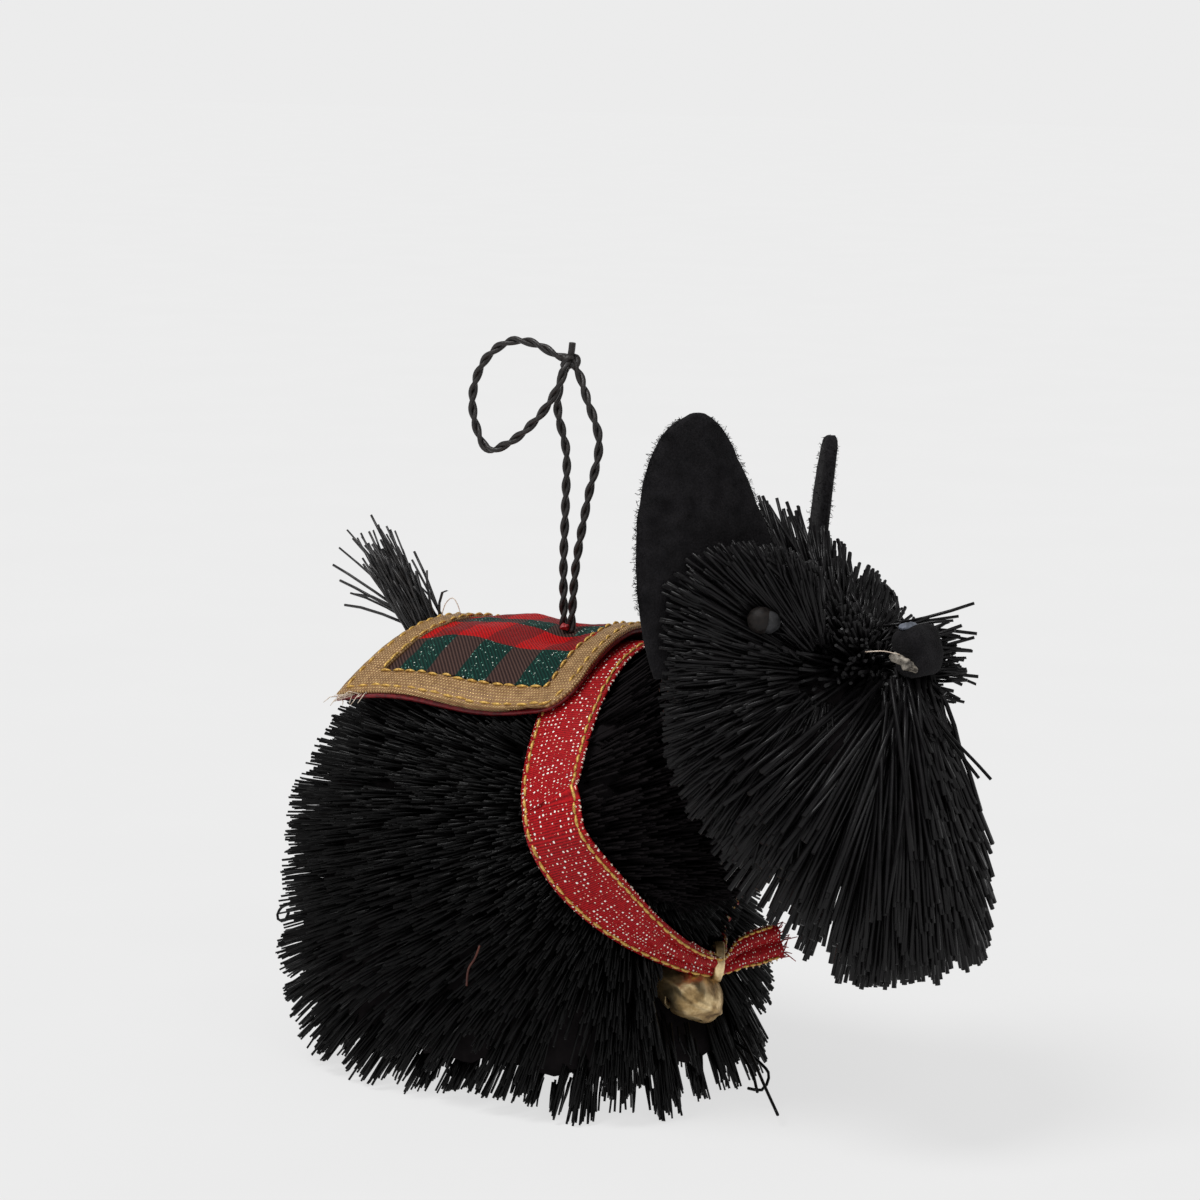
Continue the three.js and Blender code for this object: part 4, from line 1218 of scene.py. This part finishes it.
def in_head_core(points):
    return inside_head(HEAD_MIDDLE + (points - HEAD_MIDDLE) * 1.16)


def taken_from_body(points):
    tests = (in_collar, in_blanket, in_bell, in_leg_gaps, in_head_core)
    return np.any([test(points) for test in tests], axis=0)


def in_ears(points):
    taken = np.zeros(len(points), bool)
    for ear in EARS.values():
        across, thick, height = ear_local(ear, points)
        left, right = ear_edges(np.clip(height, 0, EAR_HEIGHT))
        in_outline = (across > left - 0.2) & (across < right + 0.2) & (height > 0) & (height < EAR_HEIGHT)
        taken |= in_outline & (np.abs(thick) < FELT_THICK / 2 + 0.3)
    return taken


def in_face(points):
    taken = np.zeros(len(points), bool)
    for place in EYES.values():
        offset = points - place
        outward = offset[:, 1] * np.sign(place[1])
        aside = np.hypot(offset[:, 0], offset[:, 2])
        taken |= np.linalg.norm(offset, axis=1) < EYE_RADIUS + 0.2
        taken |= (outward > 0) & (aside < EYE_RADIUS)
    nose = np.abs(points - NOSE_MIDDLE) / (np.array(NOSE_HALVES) + 0.3)
    ahead = (points[:, 0] > NOSE_MIDDLE[0]) & (nose[:, 1] < 0.9) & (nose[:, 2] < 0.9)
    return taken | (nose.max(1) < 1) | ahead


def taken_from_head(points):
    return in_ears(points) | in_face(points)


CLIP_STATIONS = 16


def clipped_shares(roots, tips, taken):
    """How much of each strand, from its root, stays clear of what is taken."""
    keep = np.ones(len(roots))
    step = 1 / CLIP_STATIONS
    for share in np.arange(1, 0.2, -step):
        keep[taken(roots + share * (tips - roots))] = share - step
    return keep


def gathered(tips, clump_size, strength):
    """Draws tips that lie near each other together, as bristles cling in small bunches."""
    centres = kdtree.KDTree(len(tips) // clump_size + 1)
    for place in tips[::clump_size]:
        centres.insert(place, 0)
    centres.balance()
    nearest = np.array([centres.find(tip)[0] for tip in tips])
    return tips + (nearest - tips) * np.reshape(strength, (-1, 1))


def coat_lines(roots, tips, bend, rng, rings=3):
    """Points along each strand, with a slight bow."""
    share = np.linspace(0, 1, rings)[None, :, None]
    bow = rng.normal(0, bend, roots.shape)[:, None] * 4 * share * (1 - share)
    return lerp(roots[:, None], tips[:, None], share) + bow


NECK_FORWARD = np.array((0.94, 0, 0.34))
BODY_STRANDS = 17500


def body_strands():
    rng = np.random.default_rng(61)
    skin, normals = scattered_skin(BODY_STRANDS, rng)
    low = smoothstep(18, FLOOR, skin[:, 2])
    direction = unit(0.8 * unit(skin - BODY_FAN) + 0.2 * normals + rng.normal(0, 0.04, skin.shape))
    direction = unit(direction + low[:, None] * (0, 0, -0.45))
    on_neck = smoothstep(1, 6, (skin - COLLAR_MIDDLE) @ NECK_FORWARD)[:, None]
    direction = unit(lerp(direction, 0.35 * direction + 0.8 * NECK_FORWARD, on_neck))
    upper_rear = smoothstep(-28, -42, skin[:, 0]) * smoothstep(34, 48, skin[:, 2])
    depth = np.abs(rng.normal(0, 1.7, BODY_STRANDS)) - 0.8 + 1.8 * upper_rear
    tips = skin - direction * depth[:, None]
    tips = gathered(gathered(tips, 9, 0.15 + 0.3 * low), 45, 0.4 * low)
    roots = tips - direction * rng.uniform(9, 14, (BODY_STRANDS, 1))
    ragged = 1.3 * np.maximum(0, ripples(tips * (1, 1, 0), 7, 66))
    floor = FLOOR + ragged + rng.beta(1, 2.6, BODY_STRANDS) * 5
    above_floor = np.clip((roots[:, 2] - floor) / np.maximum(roots[:, 2] - tips[:, 2], 1e-6), 0, 1)
    over_floor = np.where(tips[:, 2] < floor, above_floor, 1)
    tips = roots + (tips - roots) * over_floor[:, None]
    keep = clipped_shares(roots, tips, taken_from_body)
    good = (keep > 0.35) & (over_floor > 0.3) & (roots[:, 2] > FLOOR + 1)
    tips = roots + (tips - roots) * keep[:, None]
    lines = coat_lines(roots[good], tips[good], 0.12, rng)
    radii = rng.uniform(0.19, 0.26, (good.sum(), 1)) * (1, 0.98, 0.85)
    return lines, radii


def body_coat():
    lines, radii = body_strands()
    # The neck's bristles under the head take the matte core material with no gloss, as painted shade for the
    # head's shadow on them.
    neck = (lines[:, -1] - COLLAR_MIDDLE) @ NECK_FORWARD > 3
    left = lines[:, -1, 1] > 0
    for name, part, material, seed in (
        ("body_coat_right", ~left & ~neck, BODY_BRISTLE, 62),
        ("body_coat_left", left & ~neck, BODY_BRISTLE, 63),
        ("shaded_neck_coat", neck, CORE, 65),
    ):
        coat = strand_piece(name, lines[part], radii[part], 3, seed)
        finish_piece(coat, material, "bristle", "body")


# The crown's bristles fan out from a wire core that runs along the muzzle
CORE_REAR = np.array((37.5, 0, 64.5))
CORE_FRONT = np.array((51.0, 0, 66.5))
CHEEK = (0.574, 0.819)
CROWN_STRANDS = 4300

# The cheek tufts fan out flat in front of the ears' roots: reach in millimetres at each turn in degrees
TUFT_MIDDLE = np.array((47.0, -11.0, 67.0))
TUFT_BACK = np.array((-0.819, -0.574, 0))
TUFT_OUT = np.array((0.574, -0.819, 0))
TUFT_TURNS = (95, 115, 130, 150, 165, 180, 200, 215, 235, 250, 275)
TUFT_REACH = (15, 20, 24, 27, 24.5, 23.5, 24.5, 27, 29, 30, 28)
TUFT_STRANDS = 900

# The beard fans down from under the nose
BEARD_ROOT = np.array((53.0, 0, 65.5))
BEARD_FALL = (math.radians(72), math.radians(25))
BEARD_STRANDS = 1600

# Short bristles stand out beside the nose, on its left: spans of their roots and of their aims
NOSE_STRANDS = 110
NOSE_ROOTS = ((46, 50), (3, 7), (62, 72))
NOSE_AIMS = ((0.6, 1), (0.25, 0.6), (-0.45, 0.45))


def cheekward(directions):
    """How far level directions point at a cheek, from 0 to 1."""
    level = unit(directions * (1, 1, 0))
    return smoothstep(0.5, 0.95, level[:, 0] * CHEEK[0] + np.abs(level[:, 1]) * CHEEK[1])


def crown_strands(rng):
    """Bristles of the skull and the muzzle, thinned where the cheek tufts stand."""
    out = unit(rng.normal(size=(CROWN_STRANDS, 3)))
    cheek = cheekward(out)
    thinned = (cheek > 0.5) & (out[:, 2] < 0.55) & (rng.random(CROWN_STRANDS) < 0.6)
    out = out[(out[:, 2] > lerp(-0.7, -0.05, cheek)) & ~thinned]
    cheek = cheekward(out)
    share = np.clip(0.45 + 0.5 * out[:, 0] + rng.normal(0, 0.14, len(out)), 0, 1)
    centre = lerp(CORE_REAR, CORE_FRONT, share[:, None]) + rng.normal(0, 0.7, out.shape)
    skin = skin_points(centre, out, inside_head)
    drawn_in = cheek * lerp(2.0, 5.5, smoothstep(0.5, 0, out[:, 2]))
    depth = np.abs(rng.normal(0, 2.0, len(out))) - 0.5 + drawn_in
    tips = skin - out * depth[:, None]
    return centre + unit(tips - centre) * rng.uniform(1.5, 5, (len(out), 1)), tips


def tuft_strands(side, over, rng):
    """A cheek's tuft. over is how far it may stand out of the head bundle, in millimetres."""
    mirror = np.array((1, -side, 1))
    turn = rng.uniform(TUFT_TURNS[0], TUFT_TURNS[-1], TUFT_STRANDS)
    reach = np.interp(turn, TUFT_TURNS, TUFT_REACH) * (1.02 - np.abs(rng.normal(0, 0.13, TUFT_STRANDS)))
    turn = np.radians(turn)[:, None]
    aim = -np.cos(turn) * TUFT_BACK + np.sin(turn) * (0, 0, 1)
    start = rng.uniform(4, 9, (TUFT_STRANDS, 1)) + 8 * (rng.random((TUFT_STRANDS, 1)) < 0.4)
    start = np.minimum(start, reach[:, None] - 6)
    roots = (TUFT_MIDDLE + aim * start + TUFT_OUT * rng.uniform(-1.4, 0.8, (TUFT_STRANDS, 1))) * mirror
    lowest = lerp(-1.2, -4.0, smoothstep(-0.1, -0.5, aim[:, 2:]))
    tips = (TUFT_MIDDLE + aim * reach[:, None] + TUFT_OUT * rng.uniform(lowest, 2.4)) * mirror
    skin = skin_points(roots, unit(tips - roots), inside_head)
    limit = (np.linalg.norm(skin - roots, axis=1) + over) / np.linalg.norm(tips - roots, axis=1)
    return roots, roots + (tips - roots) * np.minimum(limit, 1)[:, None]


def beard_strands(rng):
    """Long bristles that fan down, drawn in ahead and longer at the beard's low corner."""
    turn = rng.uniform(-np.pi, np.pi, BEARD_STRANDS)
    level = np.stack((np.cos(turn), np.sin(turn), 0 * turn), -1)
    fall = lerp(*BEARD_FALL, cheekward(level)) * rng.random(BEARD_STRANDS) ** 0.65
    out = level * np.sin(fall)[:, None] - np.array((0, 0, 1)) * np.cos(fall)[:, None]
    back = np.maximum(0, -out[:, :1])
    centre = BEARD_ROOT + rng.normal(0, 1, out.shape) * (1.2, 1.6, 0.7) - back * (9, 0, 0)
    skin = skin_points(centre, out, inside_head)
    forward = level[:, 0] * CHEEK[1] + level[:, 1] * CHEEK[0]
    shorter = 1.8 * smoothstep(0.3, 0.9, forward) * smoothstep(0.2, 0.6, fall)
    depth = np.abs(rng.normal(0, 2.0, BEARD_STRANDS)) - 1.2 + shorter
    corner = smoothstep(0.12, 0.3, fall) * (1 - smoothstep(0.5, 0.75, fall))
    longer = smoothstep(0.1, 0.7, forward) * corner
    low = np.maximum(depth - 3.4 * longer * rng.random(BEARD_STRANDS), -3.6)
    tips = skin - out * low[:, None]
    tips[:, 2] = np.maximum(tips[:, 2], skin[:, 2].min() - 0.4)
    return centre + out * rng.uniform(0, 4, (BEARD_STRANDS, 1)), tips


def nose_strands(rng):
    roots, aim = (np.stack([rng.uniform(*span, NOSE_STRANDS) for span in spans], -1)
                  for spans in (NOSE_ROOTS, NOSE_AIMS))
    return roots, roots + unit(aim) * rng.uniform(6, 11, (NOSE_STRANDS, 1))


def head_piece(name, strands, radius, clump, strength, rng, *nodes):
    roots, tips = strands
    tips = gathered(tips, clump, strength)
    keep = clipped_shares(roots, tips, taken_from_head)
    good = (keep > 0.3) & (np.linalg.norm(tips - roots, axis=1) > 4)
    tips = roots + (tips - roots) * keep[:, None]
    lines = coat_lines(roots[good], tips[good], 0.35, rng, 4)
    radii = radius * rng.uniform(0.82, 1.12, (len(lines), 1)) * (1, 1, 1, 0.95)
    finish_piece(strand_piece(name, lines, radii, 5, 72), HEAD_BRISTLE, "bristle", *nodes)


def head_coat():
    rng = np.random.default_rng(71)
    head_piece("crown_coat", crown_strands(rng), 0.28, 6, 0.15, rng, "head")
    tufts = [tuft_strands(side, over, rng) for side, over in ((-1, 13.0), (1, -2.5))]
    tufts = [np.concatenate(parts) for parts in zip(*tufts)]
    head_piece("cheek_tufts", tufts, 0.27, 5, 0.12, rng, "head")
    head_piece("beard_coat", beard_strands(rng), 0.37, 5, 0.3, rng, "head")
    head_piece("nose_bristles", nose_strands(rng), 0.26, 6, 0.1, rng, "head")


def dark_core(name, middle, inside, taken, depth, lowest, seed):
    """The dark mass of bristle roots inside a bundle."""
    core = lump(name, np.zeros(3), (1, 1, 1), 2, 0.0, seed, fine=(96, 64))
    skin = skin_points(middle, unit(places_of(core)), inside)
    points = skin - unit(skin - middle) * depth
    for _ in range(60):
        blocked = taken(points) | (points[:, 2] < lowest)
        points[blocked] = middle + (points[blocked] - middle) * 0.96
    points = points + unit(points - middle) * (0.5 * ripples(points, 3.0, seed))[:, None]
    finish_piece(move_to(core, points), CORE, "bristle")


# Tail: a tuft of thin bristles that leans back over the rump
TAIL_ROOT = np.array((-31.9, 0, 61.5))
TAIL_GOAL = np.array((-42.6, 0, 77.0))
TAIL_STRAY_TIPS = (
    (-43.7, 0, 80.1),
    (-43, -0.4, 77.8),
    (-42.4, 0.6, 77.9),
    (-48.4, 1.2, 75.8),
    (-50.6, 0.5, 74.2),
    (-50.2, -1.6, 71.8),
    (-50.8, 0.8, 68.9),
    (-48.6, 0.7, 67.1),
    (-46.8, -0.6, 67.3),
    (-49.4, 0.2, 65.2),
    (-40.3, -0.4, 66.8),
    (-33.4, 0.8, 72.2),
    (-30.2, 1.8, 69.2),
)


def tail_tuft():
    rng = np.random.default_rng(81)
    count = 130
    root = TAIL_ROOT + rng.normal(0, 1, (count, 3)) * (1.2, 1.5, 0.4) + (0.6, 0, -1.5)
    goal = TAIL_GOAL + rng.normal(0, 1, (count, 3)) * (1.6, 1.8, 1.4) + (root - TAIL_ROOT) * 0.6
    tips = lerp(root, goal, rng.uniform(0.55, 1.05, (count, 1)))
    stray_tips = np.array(TAIL_STRAY_TIPS)
    stray_roots = lerp(TAIL_ROOT, stray_tips, 0.3) + (0.5, 0, 0.8)
    roots = np.concatenate((root, stray_roots))
    tips = np.concatenate((tips, stray_tips))
    bow = np.array((-0.5, 0, 0.6)) + rng.normal(0, 0.3, roots.shape)
    lines = np.stack((roots, lerp(roots, tips, 0.35) + bow, lerp(roots, tips, 0.7) + bow, tips), 1)
    radii = rng.uniform(0.17, 0.25, (len(lines), 1)) * (1, 1, 1, 0.9)
    tail = strand_piece("tail_tuft", lines, radii, 5, 82)
    finish_piece(tail, TAIL_BRISTLE, "bristle", "tail")


# Loose fibres and threads, each a route in the dog's millimetres
STRAY_BRISTLES = (
    ((21, 5.6, 7), (25.8, 1.9, 5.1), (31, -1.9, 1.5), (36, -6, -1.1)),
    ((20.5, 6, 4.5), (25.9, 4.4, 2.7), (29.5, 1.8, 1.7), (29.7, -0.3, 0.1), (27.2, -0.4, -0.1)),
    ((20.5, 4.6, 5.5), (26.1, 2, 2.2), (29.7, -1.7, 0.1)),
    ((-52, -8, 18.4), (-56.6, -8, 16.5), (-57.4, -8, 14.7), (-56, -8, 14.4), (-55, -8, 16)),
    ((54.5, 0, 63.6), (60.3, 0, 57.7), (64.9, 0, 54), (67, 0, 52.2)),
    ((54.5, 0.5, 62), (60.6, 0.5, 56.2), (64.8, 0.5, 52)),
    ((58.6, 2, 44.8), (62.5, 2, 39.2), (65.6, 2, 33)),
    ((59.5, 2, 39.1), (63.2, 2, 33), (65.5, 2, 28.2)),
)
REDDISH_FIBRES = (
    ((-1.2, -28.9, 23.8), (-1.9, -29.1, 21.9), (-3.2, -29, 20), (-3.8, -28.7, 17.3)),
)
PALE_THREADS = (
    ((-37, -1.2, 65.4), (-37.9, -1, 66.4), (-38.1, -1, 67.3), (-36.3, -1, 67.8), (-35.4, -1, 66.6)),
    ((-28.7, -2, 65), (-27.6, -2, 68), (-26.2, -2, 69), (-25.2, -2, 67.8), (-24.7, -2, 66.4)),
    ((50.4, -7, 69.7), (51.6, -6.9, 69.9), (53, -6.4, 70), (54.8, -5, 69.5)),
)


def loose_fibres():
    for name, routes, radius, material, slot in (
        ("stray_bristles", STRAY_BRISTLES, 0.24, BODY_BRISTLE, "bristle"),
        ("reddish_fibres", REDDISH_FIBRES, 0.16, RED_FIBRE, "bristle"),
        ("pale_threads", PALE_THREADS, 0.08, PALE_THREAD, "gold_mesh"),
    ):
        lines = [resampled(smooth_route(route, 0.4), 14) for route in routes]
        finish_piece(tube_piece(name, lines, radius, 6), material, slot)
    corner_fray()
    knot = lump("cord_foot", (-6.0, -0.6, 66.4), (0.9, 0.8, 0.5), 2.0, 0.2, 86)
    finish_piece(knot, RED_THREAD, "plaid")


def corner_fray():
    """Threads that have come loose at the blanket's rear corners."""
    rng = np.random.default_rng(87)
    lines = []
    for side in (-1, 1):
        count = 16
        u, v = rng.uniform(0, 6, count), np.full(count, side * 1.0)
        root = blanket_point(u, v) + (0, 0, -0.3)
        aim = unit(np.array((-0.6, side * 0.9, -0.6)) + rng.normal(0, 0.55, (count, 3)))
        length = rng.uniform(0.8, 2.6, (count, 1))
        lines.append(fibre(root, aim * length, rng.normal(0, 0.3, (count, 3))))
    fray = strand_piece("blanket_fray", np.concatenate(lines), (0.09, 0.08, 0.05), 5, 88)
    finish_piece(fray, PALE_THREAD, "gold_mesh")


# Floor and light
PALE = 0.838
SKY_STRENGTH = 0.36
SUNS = (
    {"name": "key_light", "from": (-0.35, -0.6, 1.3), "strength": 2.0, "angle": 24},
    {"name": "fill_light", "from": (0.9, -0.6, 0.9), "strength": 0.5, "angle": 30},
)


def stage_and_light():
    scene = bpy.context.scene
    scene.view_settings.view_transform = "Standard"
    reach = 3000
    corners = [(x, y, FLOOR) for x, y in ((-reach, -reach), (reach, -reach), (reach, reach), (-reach, reach))]
    floor = new_piece("floor", corners, [(0, 1, 2, 3)], smooth=False)
    g = Graph("pale_floor", Specular_IOR_Level=0.0, Emission_Strength=0.68)
    grain = g.noise(40, 2.0)
    glow = g.ramp(grain, (0.3, (0.995, 0.995, 0.995)), (0.7, (1.0, 1.0, 1.0)))
    paper = g.ramp(grain, (0.3, (0.158, 0.158, 0.158)), (0.7, (0.162, 0.162, 0.162)))
    g.set(Base_Color=paper, Emission_Color=glow)
    floor.data.materials.append(g.material)
    world = bpy.data.worlds.new("studio")
    scene.world = world
    world.use_nodes = True
    tree = world.node_tree
    background = tree.nodes["Background"]
    background.inputs["Color"].default_value = (1, 1, 1, 1)
    seen = tree.nodes.new("ShaderNodeLightPath").outputs["Is Camera Ray"]
    strength = tree.nodes.new("ShaderNodeMapRange")
    strength.inputs["To Min"].default_value = SKY_STRENGTH
    strength.inputs["To Max"].default_value = PALE
    tree.links.new(seen, strength.inputs["Value"])
    tree.links.new(strength.outputs["Result"], background.inputs["Strength"])
    for facts in SUNS:
        data = bpy.data.lights.new(facts["name"], "SUN")
        data.energy = facts["strength"]
        data.angle = math.radians(facts["angle"])
        light = bpy.data.objects.new(facts["name"], data)
        light.rotation_euler = Vector(facts["from"]).to_track_quat("Z", "Y").to_euler()
        scene.collection.objects.link(light)


body_coat()
head_coat()
dark_core("body_core", BODY_MIDDLE, inside_body, taken_from_body, 6.5, FLOOR + 6, 64)
dark_core("head_core", np.array((40.0, 0, 66)), inside_head, taken_from_head, 11.5, 54, 74)
tail_tuft()
blanket_lining()
blanket_cover()
blanket_trim()
blanket_stitches()
collar_ribbon()
ribbon_edging()
ribbon_fray()
for ear_name, ear_facts in EARS.items():
    felt_ear(ear_name, ear_facts, 90 + ear_facts["side"])
face()
jingle_bell()
loose_fibres()
stage_and_light()
